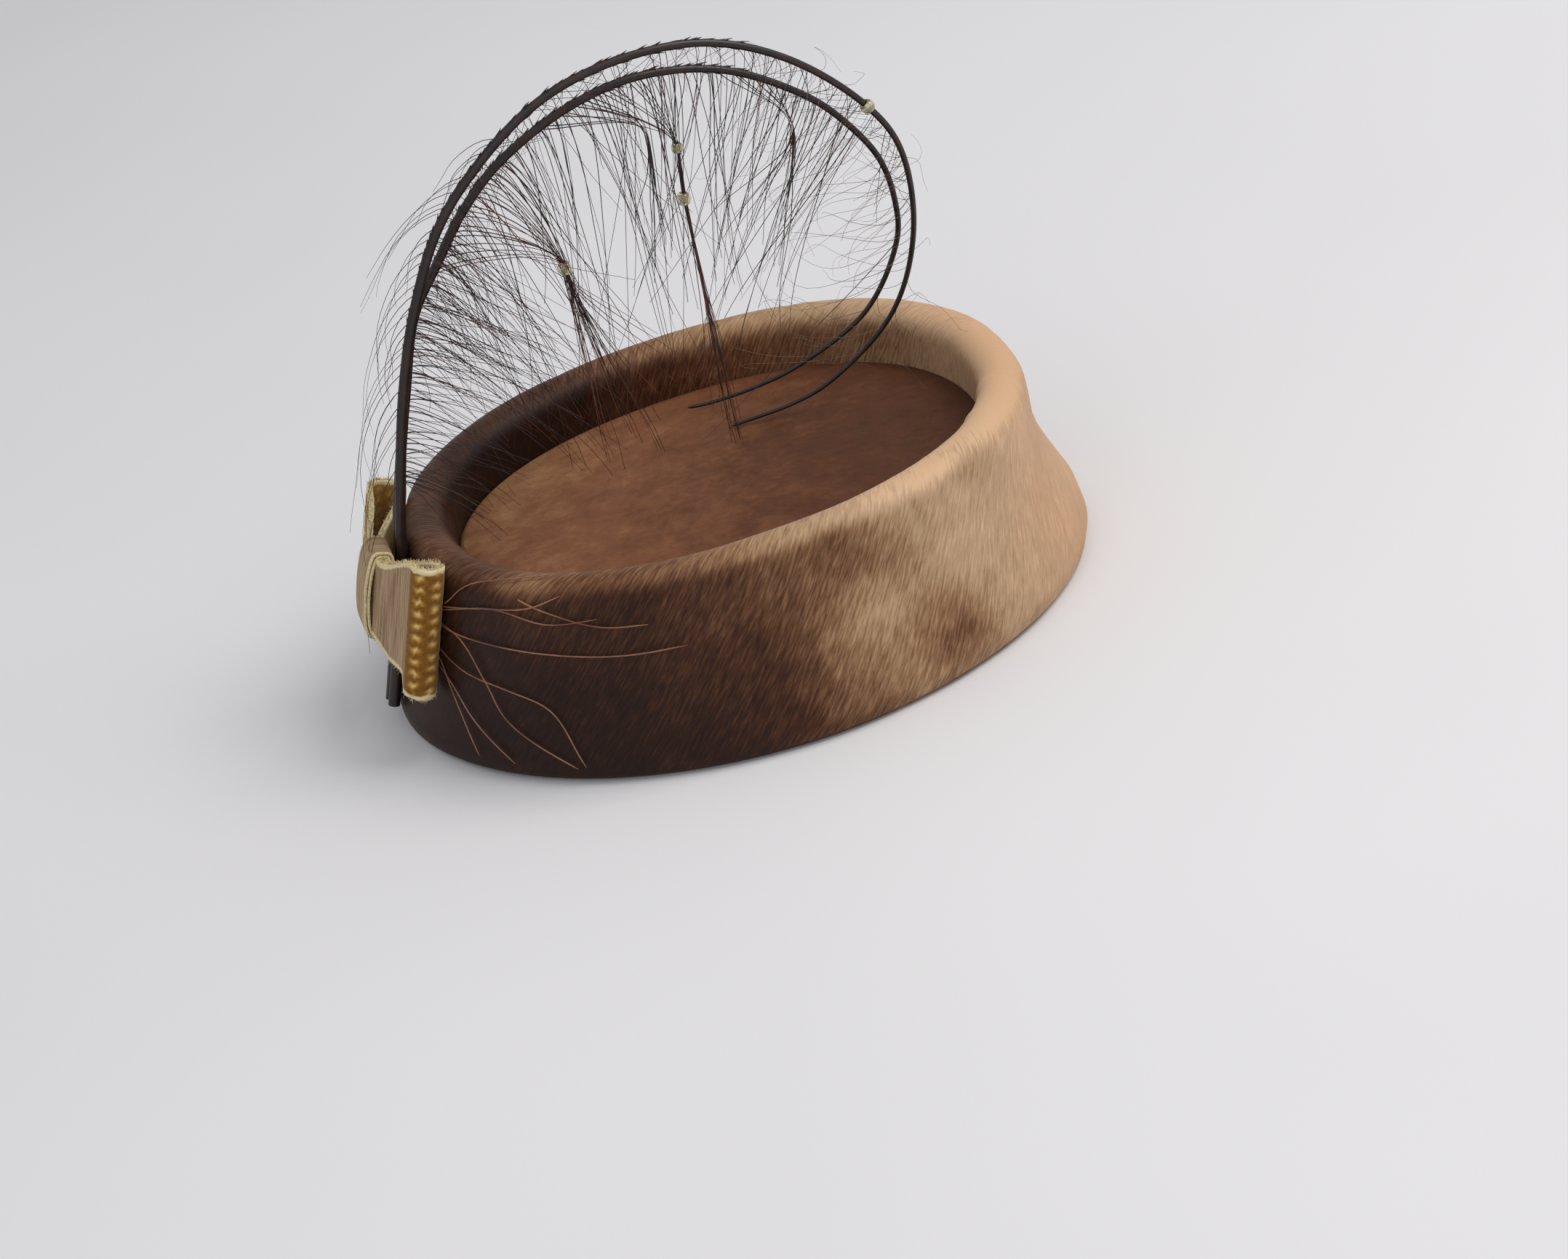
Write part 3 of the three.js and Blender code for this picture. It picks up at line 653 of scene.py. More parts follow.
def loop_plan(depth):
    """A loop seen from above, as (out, side) places from the waist round the fold and back."""
    fold_radius = (depth - RIBBON_THICKNESS) / 2
    fold_side = LOOP_REACH - RIBBON_THICKNESS / 2 - fold_radius
    shares = [(0.0, 0.0), (0.3, 0.35), (0.62, 0.8), (0.88, 0.97)]

    def resting_out(side):
        return 2 * SEAM_GAP + RIBBON_THICKNESS / 2 - wall_fall(side)

    plan = [(INNER_LAYER, SEAM_GAP / 2, 0)]
    for share, down in shares:
        side = mix(WRAP_WIDTH / 2 + SEAM_GAP, fold_side, share)
        plan.append((mix(INNER_LAYER, resting_out(side), down), side, 0))
    fold_out = resting_out(fold_side) + fold_radius
    for i in range(FOLD_PLACES):
        angle = math.radians(mix(-90, 90, i / (FOLD_PLACES - 1)))
        side = fold_side + fold_radius * math.cos(angle)
        plan.append((fold_out + fold_radius * math.sin(angle), side, 0))
    for share, down in reversed(shares):
        side = mix(WRAP_WIDTH / 2 + SEAM_GAP, fold_side, share)
        plan.append((mix(OUTER_LAYER, fold_out + fold_radius, down), side, 0))
    plan.append((OUTER_LAYER, SEAM_GAP / 2, 0))
    return plan


print("wall slope", math.degrees(WALL_SLOPE), "layers", INNER_LAYER, OUTER_LAYER)

# %% Extrude the two loops along their plans
RIBBON_STEP = 0.55
RIBBON_CUTS = 56
FOLD_CORNER = 4.0
CORNER_REACH = 7.0


def make_loop(name, node, direction, depth, worn_from, tufted):
    path = smooth_path(loop_plan(depth), RIBBON_STEP)
    apex = max(range(len(path)), key=lambda i: path[i].y)
    bm = bmesh.new()
    layers = {key: bm.verts.layers.float.new(key) for key in ("pile", "tuft", "edge", "u", "v")}
    frayed = []

    def place_row(verts, i):
        before, after = path[max(0, i - 1)], path[min(len(path) - 1, i + 1)]
        along = Vector((after.y - before.y, after.x - before.x)).normalized()
        from_fold = (i - apex) * RIBBON_STEP
        grown = smoothstep(WRAP_WIDTH / 2 + SEAM_GAP, LOOP_REACH * 0.9, path[i].y)
        half = mix(WAIST_HEIGHT, LOOP_HEIGHT, grown) / 2
        round_off = 1 - math.sqrt(1 - min(1.0, abs(from_fold) / CORNER_REACH) ** 2.6)
        low = -half + FOLD_CORNER * round_off * smoothstep(2.6 * CORNER_REACH, CORNER_REACH, abs(from_fold))
        for j, vert in enumerate(verts):
            up = mix(low, half, j / RIBBON_CUTS)
            phase = up / TUFT_PITCH + 0.25 * noise.noise(Vector((from_fold, up / 4, 5.0)))
            tuft = 0.0
            for column in (-1, 1):
                row = 0.5 + 0.5 * math.cos(TAU * (phase + 0.25 * column))
                tuft += tufted * math.exp(-(((from_fold - column * TUFT_COLUMN) / TUFT_SIZE) ** 2)) * row
            pile = 1 - smoothstep(worn_from, worn_from + 1.8, abs(from_fold))
            rough = 0.12 * noise.noise(Vector((from_fold / 1.3, up / 1.3, depth)))
            proud = (tuft - 0.4) * 0.45 * pile + rough
            out = path[i].x + along.x * proud
            side = path[i].y - along.y * proud
            vert.co = to_metres(on_back(out, direction * side, up))
            rim = min(up - low, half - up)
            vert[layers["pile"]] = pile
            vert[layers["tuft"]] = tuft * smoothstep(0.0, 2.0, rim) + mix(0.5, 0.1, tufted)
            ragged = 0.5 * noise.noise(Vector((i / 3, up, 2.0)))
            vert[layers["edge"]] = 1 - smoothstep(0.0, 2.4, rim + ragged)
            vert[layers["u"]] = from_fold
            vert[layers["v"]] = up
            if j in (0, RIBBON_CUTS):
                frayed.append((on_back(out, direction * side, up), 1 if j else -1))

    column = [Vector((0, 0, j)) for j in range(RIBBON_CUTS + 1)]
    verts, edges = chain(bm, column)
    place_row(verts, 0)
    for i in range(1, len(path)):
        grown = bmesh.ops.extrude_edge_only(bm, edges=edges)["geom"]
        verts = sorted((g for g in grown if isinstance(g, bmesh.types.BMVert)), key=lambda v: v.co.z)
        new = set(verts)
        edges = [g for g in grown if isinstance(g, bmesh.types.BMEdge) and new.issuperset(g.verts)]
        place_row(verts, i)
    cloth = bm.loops.layers.uv.new("cloth")
    for face in bm.faces:
        for loop in face.loops:
            loop[cloth].uv = (loop.vert[layers["u"]] * MM, loop.vert[layers["v"]] * MM)
    bmesh.ops.recalc_face_normals(bm, faces=bm.faces)
    area = sum(face.calc_area() for face in bm.faces)
    piece = finish_mesh(name, bm, ribbon_velvet, "ribbon_velvet", node)
    thick = piece.modifiers.new("pile_and_cloth", "SOLIDIFY")
    thick.thickness = (RIBBON_THICKNESS - 0.1) * MM
    thick.offset = 0
    return frayed


# the near loop's pile is worn away 4.6 mm from its fold, and the far loop's only 30 mm from it
near_fray = make_loop("bow_loop_near", "bow_loop_right", -1, NEAR_LOOP_DEPTH, worn_from=4.6, tufted=1.0)
far_fray = make_loop("bow_loop_far", "bow_loop_left", 1, FAR_LOOP_DEPTH, worn_from=30.0, tufted=0.3)

# %% [markdown]
# The wrap hides the ribbon's waist. It is a short length of the same ribbon with its worn side out, over
# a second turn whose golden pile shows along the sides. Each turn is a level line of vertices, extruded
# around the waist on a rounded oblong that bulges a little outwards, and closed where it meets itself.

# %% Extrude the wrap around the waist
WRAP_TURNS = 64
WRAP_CUTS = 14
WRAP_SQUARENESS = 4.5


def make_wrap(name, grow, half_width, pile, thickness, *nodes):
    half_up = WAIST_HEIGHT / 2 + SEAM_GAP + grow
    floor = INNER_LAYER - RIBBON_THICKNESS / 2 - SEAM_GAP - grow
    roof = WRAP_ROOF + grow
    bm = bmesh.new()
    layers = {key: bm.verts.layers.float.new(key) for key in ("pile", "tuft", "edge")}
    frayed = []

    def place_row(verts, turn):
        angle = TAU * turn / WRAP_TURNS
        c, s = math.cos(angle), math.sin(angle)
        reach = (abs(c) ** WRAP_SQUARENESS + abs(s) ** WRAP_SQUARENESS) ** (-1 / WRAP_SQUARENESS)
        up = half_up * reach * s
        out = (floor + roof) / 2 + (roof - floor) / 2 * reach * c
        out += WRAP_BULGE * (1 - (up / half_up) ** 2) if c > 0 else 0.0
        for j, vert in enumerate(verts):
            share = j / WRAP_CUTS * 2 - 1
            side = half_width * share * (1 - 0.10 * abs(reach * s) ** 3)
            wave = 0.15 * noise.noise(Vector((side / 2, up / 5, grow)))
            vert.co = to_metres(on_back(out + wave, side, up))
            vert[layers["pile"]] = pile
            vert[layers["tuft"]] = 0.55
            vert[layers["edge"]] = 0.75 * smoothstep(0.86, 1.0, abs(share))
            if j in (0, WRAP_CUTS):
                frayed.append((on_back(out + wave, side, up), 0))

    verts, edges = chain(bm, [Vector((0, j, 0)) for j in range(WRAP_CUTS + 1)])
    place_row(verts, 0)
    for turn in range(1, WRAP_TURNS + 1):
        grown = bmesh.ops.extrude_edge_only(bm, edges=edges)["geom"]
        verts = sorted((g for g in grown if isinstance(g, bmesh.types.BMVert)), key=lambda v: v.co.y)
        new = set(verts)
        edges = [g for g in grown if isinstance(g, bmesh.types.BMEdge) and new.issuperset(g.verts)]
        place_row(verts, turn)
    bmesh.ops.remove_doubles(bm, verts=bm.verts, dist=0.01 * MM)
    bmesh.ops.recalc_face_normals(bm, faces=bm.faces)
    cloth = bm.loops.layers.uv.new("cloth")
    for face in bm.faces:
        for loop in face.loops:
            loop[cloth].uv = (loop.vert.co.y, loop.vert.co.z)
    area = sum(face.calc_area() for face in bm.faces)
    piece = finish_mesh(name, bm, ribbon_velvet, "ribbon_velvet", *nodes)
    thick = piece.modifiers.new("pile_and_cloth", "SOLIDIFY")
    thick.thickness = thickness * MM
    thick.offset = 0
    return frayed


wrap_fray = make_wrap("bow_wrap", WRAP_THICKNESS * 0.62, WRAP_WIDTH / 2 - 0.5, 0.0, 0.8, "bow_knot")
pile_fray = make_wrap("bow_under_wrap", WRAP_THICKNESS * 0.05, WRAP_WIDTH / 2 + 0.1, 1.0, 0.7)

# %% [markdown]
# Each quill is the shaft of a long feather, with nearly all of its web stripped off. What is left is a
# dark tapering horn, and single barbs as fine as hair. A shaft and its barbs are curves with a round
# bevel, because a curve takes a radius at each of its points, and stays smooth with few points.

# %% The horn of the quills and their barbs


def make_strand(name, dark, light, patch, gloss):
    """Dyed keratin, or a fibre, with faint streaks: keratin has a soft gloss, and a fibre has none."""
    material, tree, shader = new_material(name, Roughness=gloss, Specular_IOR_Level=0.45, IOR=1.55)
    place = add_node(tree, "ShaderNodeTexCoord", out="Object")
    streaks = {"Vector": place, "Scale": 1 / (patch * MM), "Detail": 3.0, "Roughness": 0.6}
    streaks = add_node(tree, "ShaderNodeTexNoise", streaks)
    shades = [(0.36, dark), (0.64, light)]
    colour = add_node(tree, "ShaderNodeValToRGB", {"Fac": streaks}, stops=shades)
    tree.links.new(colour, shader.inputs["Base Color"])
    return material


quill_horn = make_strand("dyed_quill_horn", "#0E0A09", "#2A1914", 5.0, 0.42)
dark_barb = make_strand("dark_feather_barb", "#140D0B", "#3A201A", 7.0, 0.5)
red_barb = make_strand("reddish_feather_barb", "#2C1610", "#6E3A26", 8.0, 0.5)
pale_barb = make_strand("fine_feather_barb", "#4A3A34", "#7A6458", 10.0, 0.6)
loose_barb = make_strand("loose_feather_barb", "#6B4030", "#9A6A4C", 12.0, 0.5)

# %% The quills' routes
LOOP_FORWARD, LOOP_RISE, LOOP_RADIUS = 82.5, 39, 70
QUILL_BUTT_RISE, QUILL_SPREAD, ARCH_SPREAD = 6.5, 1.95, 4
OUTER_TIP_SIDE, INNER_TIP_SIDE = 25, 30
TIP_GAP, OUTER_TIP_FORWARD, OUTER_TIP_TURN = 0.4, 12.95, 255
RIM_IN_SHARE, RIM_UP_SHARE = 0.25, 0.3
LEAN_TURN, LEAN_POWER = 100, 1.5
SPREAD_FROM_TURN, SPREAD_TO_TURN = -20, 60
# turn is in degrees round the loop, from 0 at the back over 90 at the top, and reach a share of its radius
OUTER_LOOP = [
    (-16, 1.16), (0, 1.015), (17, 0.942), (37, 0.92), (56, 0.914), (74, 0.936), (92, 0.957), (111, 0.988),
    (130, 0.999), (152, 1.026), (165, 1.038), (185, 0.999), (205, 0.951), (227, 0.861), (238, 0.814),
]
INNER_LOOP = [
    (-17, 1.164), (-3, 1.013), (14, 0.927), (27, 0.858), (40, 0.832), (56, 0.817), (79, 0.818), (98, 0.844),
    (119, 0.87), (142, 0.903), (155, 0.932), (167, 0.963), (178, 0.967), (188, 0.956), (207, 0.873),
    (229, 0.736), (242, 0.682), (257, 0.647), (266, 0.636),
]
rim = hat_point(1, math.pi, QUILL_BUTT_RADIUS + SEAM_GAP - RIM_IN_SHARE * ROLL_RADIUS, BAND_HEIGHT)
loop_centre = Vector((rim.x + LOOP_FORWARD, 0, BAND_HEIGHT + LOOP_RISE))


ROUTE_STEP = 1.5
SHAFT_TAPER = 1.1


def quill_route(loop, side, tip_side, rests):
    """A quill's places in mm, up the wall at the centre back, over the rim and round its loop."""
    points = []
    butt = QUILL_BUTT_RISE / ROLL_CENTRE
    for share in (0, 0.35, 0.7, 1):
        rise = mix(butt, 1, share)
        place = hat_point(rise, math.pi, QUILL_BUTT_RADIUS + SEAM_GAP, rise * ROLL_CENTRE)
        points.append((place.x, side * QUILL_SPREAD, place.z))
    points.append((rim.x, side * QUILL_SPREAD, rim.z + RIM_UP_SHARE * ROLL_RADIUS))
    last = OUTER_TIP_TURN if rests else loop[-1][0]
    for turn, reach in loop:
        spread = mix(QUILL_SPREAD, ARCH_SPREAD, smoothstep(SPREAD_FROM_TURN, SPREAD_TO_TURN, turn))
        lean = max(0.0, (turn - LEAN_TURN) / (last - LEAN_TURN)) ** LEAN_POWER
        angle = math.radians(turn)
        x = loop_centre.x - LOOP_RADIUS * reach * math.cos(angle)
        z = loop_centre.z + LOOP_RADIUS * reach * math.sin(angle)
        points.append((x, mix(side * spread, tip_side, lean), z))
    if rests:
        x = loop_centre.x + OUTER_TIP_FORWARD
        points.append((x, tip_side, crown_top(x, tip_side) + TIP_GAP + QUILL_TIP_RADIUS))
    return smooth_path(points, ROUTE_STEP)


def turn_of(place):
    """How far round the loop a place is, in degrees."""
    turn = math.degrees(math.atan2(place.z - loop_centre.z, loop_centre.x - place.x))
    return turn + 360 if turn < -90 else turn


def rod_curves(name, lines, material, slot, *nodes, sides=1):
    """One curve object of many rods. Each line is a list of (place in mm, radius in mm)."""
    data = bpy.data.curves.new(name, "CURVE")
    data.dimensions = "3D"
    data.bevel_depth = MM
    data.bevel_resolution = sides
    data.use_fill_caps = True
    for line in lines:
        spline = data.splines.new("POLY")
        spline.points.add(len(line) - 1)
        for point, (place, radius) in zip(spline.points, line):
            point.co = (*to_metres(place), 1.0)
            point.radius = radius
        spline.use_smooth = True
    print(name, len(lines), "rods")
    return place_piece(name, data, material, slot, *nodes)


outer_route = quill_route(OUTER_LOOP, -1, OUTER_TIP_SIDE, True)
inner_route = quill_route(INNER_LOOP, 1, INNER_TIP_SIDE, False)
for name, route in (("quill_outer", outer_route), ("quill_inner", inner_route)):
    last = len(route) - 1
    shaft = []
    for i, place in enumerate(route):
        shaft.append((place, mix(QUILL_BUTT_RADIUS, QUILL_TIP_RADIUS, (i / last) ** SHAFT_TAPER)))
    shaft[-1] = (shaft[-1][0], QUILL_TIP_RADIUS * 0.4)
    rod_curves(name + "_shaft", [shaft], quill_horn, "quill", name, sides=4)

# %% [markdown]
# A barb leaves the shaft towards its tip and then falls under its own weight, so each one is a bent line
# from its root, drawn inwards at first and then down with a sweep that changes round the loop. Where a
# barb would run into the hat it lies on it instead. The numbers of a barb are drawn with a seeded dice,
# so the same hat comes out each time.

# %% Helpers for single barbs
BARB_HANG = [
    # sweep is the angle from straight down towards the front, and length is in mm
    {"turn": -9, "sweep": 50, "length": 46},
    {"turn": 15, "sweep": 34, "length": 68},
    {"turn": 40, "sweep": 20, "length": 72},
    {"turn": 70, "sweep": 6, "length": 78},
    {"turn": 100, "sweep": -5, "length": 82},
    {"turn": 125, "sweep": -22, "length": 80},
    {"turn": 145, "sweep": -38, "length": 70},
    {"turn": 170, "sweep": -50, "length": 46},
    {"turn": 195, "sweep": -66, "length": 30},
]
LIE_GAP = 0.35
BARB_END_SHARE = 0.42


def lie_on_hat(place):
    """Lifts or pushes a place out of the hat, so that what would run into the hat lies on it."""
    x, y, z = place
    u, v = (x - ROLL_FORWARD) / (ROLL_LENGTH / 2), y / (ROLL_WIDTH / 2)
    share = (abs(u) ** ROLL_SQUARENESS + abs(v) ** ROLL_SQUARENESS) ** (1 / ROLL_SQUARENESS)
    inwards = (1 - share) * math.hypot(x - ROLL_FORWARD, y) / max(share, 0.01)
    if inwards > 2 * ROLL_RADIUS + 0.8:
        return Vector((x, y, max(z, crown_top(x, y) + LIE_GAP + CROWN_RELIEF)))
    if inwards > -0.6:
        across = min(1.0, abs(inwards - ROLL_RADIUS) / ROLL_RADIUS)
        top = ROLL_CENTRE + lift(x) + ROLL_RADIUS * math.sqrt(1 - across**2)
        return Vector((x, y, max(z, top + LIE_GAP)))
    if z > ROLL_CENTRE:
        return Vector(place)
    rise = max(0.0, z) / ROLL_CENTRE
    surface = hat_point(rise, math.atan2(v, u), LIE_GAP + 0.4, z)
    if math.hypot(x, y) < math.hypot(surface.x, surface.y):
        return Vector((surface.x, surface.y, z))
    return Vector(place)


def barb_line(root, first, second, end, radius, steps=14, waver=0.3):
    """A barb through four handles, thinner to its end and a little wavy."""
    seed = dice.uniform(0, 500)
    line = []
    for i in range(steps + 1):
        t = i / steps
        a, b, c, d = (1 - t) ** 3, 3 * (1 - t) ** 2 * t, 3 * (1 - t) * t * t, t**3
        place = root * a + first * b + second * c + end * d
        drift = Vector((noise.noise((seed, t * 3, 0.0)), noise.noise((seed, t * 3, 9.0)), 0.0))
        place += drift * waver * 4 * t
        line.append((lie_on_hat(place), radius * mix(1.0, BARB_END_SHARE, t)))
    return line


def along_route(route, turn):
    """The place and direction of a quill where its loop has come round to a turn."""
    start = len(route) // 6
    for i in range(start, len(route) - 1):
        if turn_of(route[i]) >= turn and route[i].z > BAND_HEIGHT:
            return route[i], (route[i + 1] - route[i - 1]).normalized()
    return route[-2], (route[-1] - route[-3]).normalized()


def inwards_of(place):
    return Vector((loop_centre.x - place.x, 0, loop_centre.z - place.z)).normalized()


def hanging_barb(route, turn, scale=1.0, radius=0.15, spread=9.0, drift=7.0):
    """A long barb that hangs inside the loop."""
    root, forward = along_route(route, turn)
    root = root + forward * dice.uniform(-0.8, 0.8)
    sweep = math.radians(from_table(BARB_HANG, "turn", turn, "sweep") + dice.gauss(0, spread))
    length = from_table(BARB_HANG, "turn", turn, "length") * scale
    down = Vector((math.sin(sweep), 0, -math.cos(sweep)))
    inwards = inwards_of(root)
    side = Vector((0, dice.uniform(-drift, drift), 0))
    first = root + (inwards * 0.5 + forward * 0.4) * length * 0.12
    second = root + (down * 0.55 + inwards * 0.12) * length + side * 0.4
    return barb_line(root, first, second, root + down * length + side, radius)


# %% Long barbs that hang inside the loop
dark_lines, red_lines, pale_lines = [], [], []
for i in range(120):
    turn = mix(4, 158, (i + dice.random()) / 120)
    lines = red_lines if dice.random() < 0.22 else dark_lines
    scale = dice.uniform(0.5, 1.12) if dice.random() < 0.75 else dice.uniform(0.25, 0.5)
    lines.append(hanging_barb(inner_route, turn, scale, dice.uniform(0.11, 0.18)))
for i in range(50):
    turn = mix(20, 160, (i + dice.random()) / 50)
    dark_lines.append(hanging_barb(outer_route, turn, dice.uniform(0.3, 1.0), dice.uniform(0.08, 0.13), 12))

# %% Dense short barbs low at the back, which also fall outside the hat
for i in range(150):
    turn = mix(-24, 34, (i + dice.random()) / 150)
    route = inner_route if i % 3 else outer_route
    lines = red_lines if dice.random() < 0.2 else dark_lines
    barb = hanging_barb(route, max(turn, -12), dice.uniform(0.25, 0.85), dice.uniform(0.08, 0.14), 14, 9)
    root, forward = along_route(route, turn)
    moved = root - barb[0][0]
    lines.append([(lie_on_hat(place + moved), radius) for place, radius in barb])
for i in range(36):
    turn = mix(-18, 62, (i + dice.random()) / 36)
    root, forward = along_route(outer_route, turn)
    away = -inwards_of(root)
    length = dice.uniform(12, 38) * mix(1.0, 0.6, max(0.0, turn) / 62)
    side = Vector((0, dice.uniform(-5, 3), 0))
    first = root + (away * 0.35 - forward * 0.25) * length + side * 0.2
    second = root + (away * 0.32 - forward * 0.8) * length + side * 0.6
    end = root - forward * length * 1.2 + away * length * dice.uniform(0.05, 0.3) + side
    end.x = max(end.x, -108)
    dark_lines.append(barb_line(root, first, second, end, dice.uniform(0.07, 0.12), 10))

# %% Crossing barbs between the two quills, and short stubs along the shafts
for i in range(150):
    turn = mix(30, 178, (i + dice.random()) / 150)
    root, forward = along_route(outer_route, turn)
    inwards = inwards_of(root)
    length = dice.uniform(7, 24)
    lean = dice.uniform(-1.2, 1.2)
    side = Vector((0, dice.uniform(0, 9), 0))
    end = root + (inwards * 0.8 + forward * lean) * length * 0.8 + side
    first = root + (forward * 0.6 + inwards * 0.2) * length * 0.35
    lines = red_lines if dice.random() < 0.3 else dark_lines
    lines.append(barb_line(root, first, root.lerp(end, 0.6), end, dice.uniform(0.06, 0.10), 7, 0.3))
stub_lines = []
for route, low, high in ((outer_route, -8, 118), (inner_route, 0, 124)):
    for i in range(120):
        turn = mix(low, high, (i + dice.random()) / 120)
        root, forward = along_route(route, turn)
        away = -inwards_of(root) * dice.choice((1, 1, 1, -1))
        length = dice.uniform(2.0, 5.0)
        root = root + away * 0.6
        end = root + forward * length + away * dice.uniform(0.3, 1.1)
        stub_lines.append([(root, 0.3), (root.lerp(end, 0.6), 0.2), (end, 0.05)])

# %% Fine pale curls at the front, and wisps
for i in range(90):
    turn = mix(120, 226, (i + dice.random()) / 90)
    route = outer_route if i % 2 else inner_route
    root, forward = along_route(route, turn)
    inwards = inwards_of(root) * dice.choice((1, 1, 1, -0.35))
    length = dice.uniform(12, 40)
    side = Vector((0, dice.uniform(-8, 10), 0))
    first = root + (inwards * 0.5 + forward * 0.6) * length * 0.5
    second = root + inwards * length * 0.9 + forward * length * dice.uniform(-0.5, 0.5) + side
    end = root + inwards * length * 0.9 + Vector((0, 0, -length * dice.uniform(-0.2, 0.6))) + side
    pale_lines.append(barb_line(root, first, second, end, dice.uniform(0.05, 0.08), 12, 0.8))

# %% Barbs gathered through the beads, and dark tangles
bead_middles = {}
for name in ("bead_1", "bead_2", "bead_3", "bead_4"):
    low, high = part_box(name)
    middle = (low + high) / 2 / MM
    bead_middles[name] = middle - Vector((HAT_SHIFT, 0, 0))


def gathered(count, turns, knots, end_low, end_high, lines, radius):
    """Barbs from a stretch of the inner quill that pass together through some knots, and then part."""
    for i in range(count):
        turn = mix(*turns, (i + dice.random()) / count)
        root, forward = along_route(inner_route, turn)
        jitter = Vector((dice.gauss(0, 0.3), dice.gauss(0, 0.3), 0))
        above = knots[0] + jitter
        first = root + (inwards_of(root) * 0.5 + forward * 0.4) * (root - above).length * 0.3
        line = barb_line(root, first, above + Vector((0, 0, 7)), above, radius, 9, 0.15)
        for knot in knots[1:]:
            line.append((knot + jitter, radius))
        from_knot = line[-1][0]
        end = Vector([dice.uniform(a, b) for a, b in zip(end_low, end_high)])
        below = from_knot + Vector((0, 0, -8))
        tail = barb_line(from_knot, below, from_knot.lerp(end, 0.6), end, radius, 9, 0.4)
        lines.append(line + tail[1:])


gathered(16, (22, 56), [bead_middles["bead_1"]], (-26, -4, 50), (8, 12, 76), red_lines, 0.15)
gathered(8, (30, 60), [bead_middles["bead_1"]], (-24, 0, 46), (-8, 8, 60), dark_lines, 0.16)
through = [bead_middles["bead_2"], bead_middles["bead_3"]]
gathered(10, (74, 112), through, (6, 2, 43), (16, 12, 60), red_lines, 0.15)
gathered(4, (80, 100), through, (8, 6, 44), (12, 9, 46), dark_lines, 0.18)
gathered(9, (68, 92), [Vector((6.4, 3.0, 135.5))], (-4, -4, 95), (12, 8, 118), dark_lines, 0.17)
gathered(9, (116, 140), [Vector((43.9, 4.0, 125.3))], (18, -4, 70), (36, 10, 112), dark_lines, 0.16)
thread = barb_line(Vector((66, 14, 82)), Vector((50, 12, 72)), Vector((28, 9, 62)), Vector((2, 4, 49)), 0.12)
dark_lines.append(thread)

rod_curves("barbs_dark", dark_lines, dark_barb, "quill")
rod_curves("barbs_reddish", red_lines, red_barb, "quill")
rod_curves("barbs_fine", pale_lines, pale_barb, "quill")
rod_curves("barb_stubs", stub_lines, quill_horn, "quill")

# %% [markdown]
# A few reddish barbs have come loose at the bow and lie over the dark side of the band. Their places are
# pairs of an angle round the hat and a share of the band's height, so they lie on the cloth wherever it
# goes. The frayed fibres at the ribbon's cut edges are short curves too, a few tenths of a millimetre
# long, which soften the outline of the bow.

# %% Loose barbs on the band, and the ribbon's frayed edges
LOOSE_ROUTES = [
    [(-172, 0.80), (-165.1, 0.881), (-147.6, 0.985), (-136.0, 1.02), (-129.5, 1.08)],
    [(-172, 0.82), (-161.9, 0.885), (-144.2, 0.997), (-132.5, 0.932), (-123.2, 0.949)],
    [(-138.0, 1.06), (-131.5, 0.988), (-122.4, 0.901), (-114.6, 0.884)],
    [(-168, 0.84), (-156.4, 0.808), (-144.5, 0.792), (-134.9, 0.771), (-119.2, 0.734), (-108.7, 0.734)],
    [(-170, 0.78), (-162.8, 0.713), (-152.5, 0.606), (-141.5, 0.544), (-133.8, 0.46), (-127.7, 0.124)],
    [(-162, 0.84), (-153.4, 0.786), (-146.7, 0.575), (-142.1, 0.37), (-129.1, 0.113)],
    [(-170, 0.74), (-161.0, 0.652), (-155.4, 0.454), (-148.8, 0.132)],
    [(-166, 0.66), (-156.5, 0.524), (-149.8, 0.334), (-141.0, 0.125)],
    [(-158, 0.95), (-150, 1.1), (-141, 1.16), (-133, 1.2)],
]


def on_band(angle, rise, proud):
    """A place just outside the band: over 1, the rise goes on over the roll."""
    angle = math.radians(angle)
    if rise <= 1:
        return hat_point(rise, angle, proud, rise * ROLL_CENTRE)
    around = (rise - 1) * ROLL_CENTRE / ROLL_RADIUS
    reach = ROLL_RADIUS + proud
    out, up = reach * math.cos(around) - ROLL_RADIUS, reach * math.sin(around)
    return hat_point(1, angle, out, ROLL_CENTRE + up)


# a rise is stretched to weigh about as much as an angle in degrees while the line is smoothed
RISE_STRETCH = 60
LOOSE_PROUD, LOOSE_RADIUS, LOOSE_END_RADIUS = 0.75, 0.2, 0.08
loose_lines = []
for route in LOOSE_ROUTES:
    places = smooth_path([(angle, rise * RISE_STRETCH, 0) for angle, rise in route], 2.0)
    line = [(on_band(p.x, p.y / RISE_STRETCH, LOOSE_PROUD), LOOSE_RADIUS) for p in places]
    line[-1] = (line[-1][0], LOOSE_END_RADIUS)
    loose_lines.append(line)
rod_curves("barbs_loose", loose_lines, loose_barb, "quill")

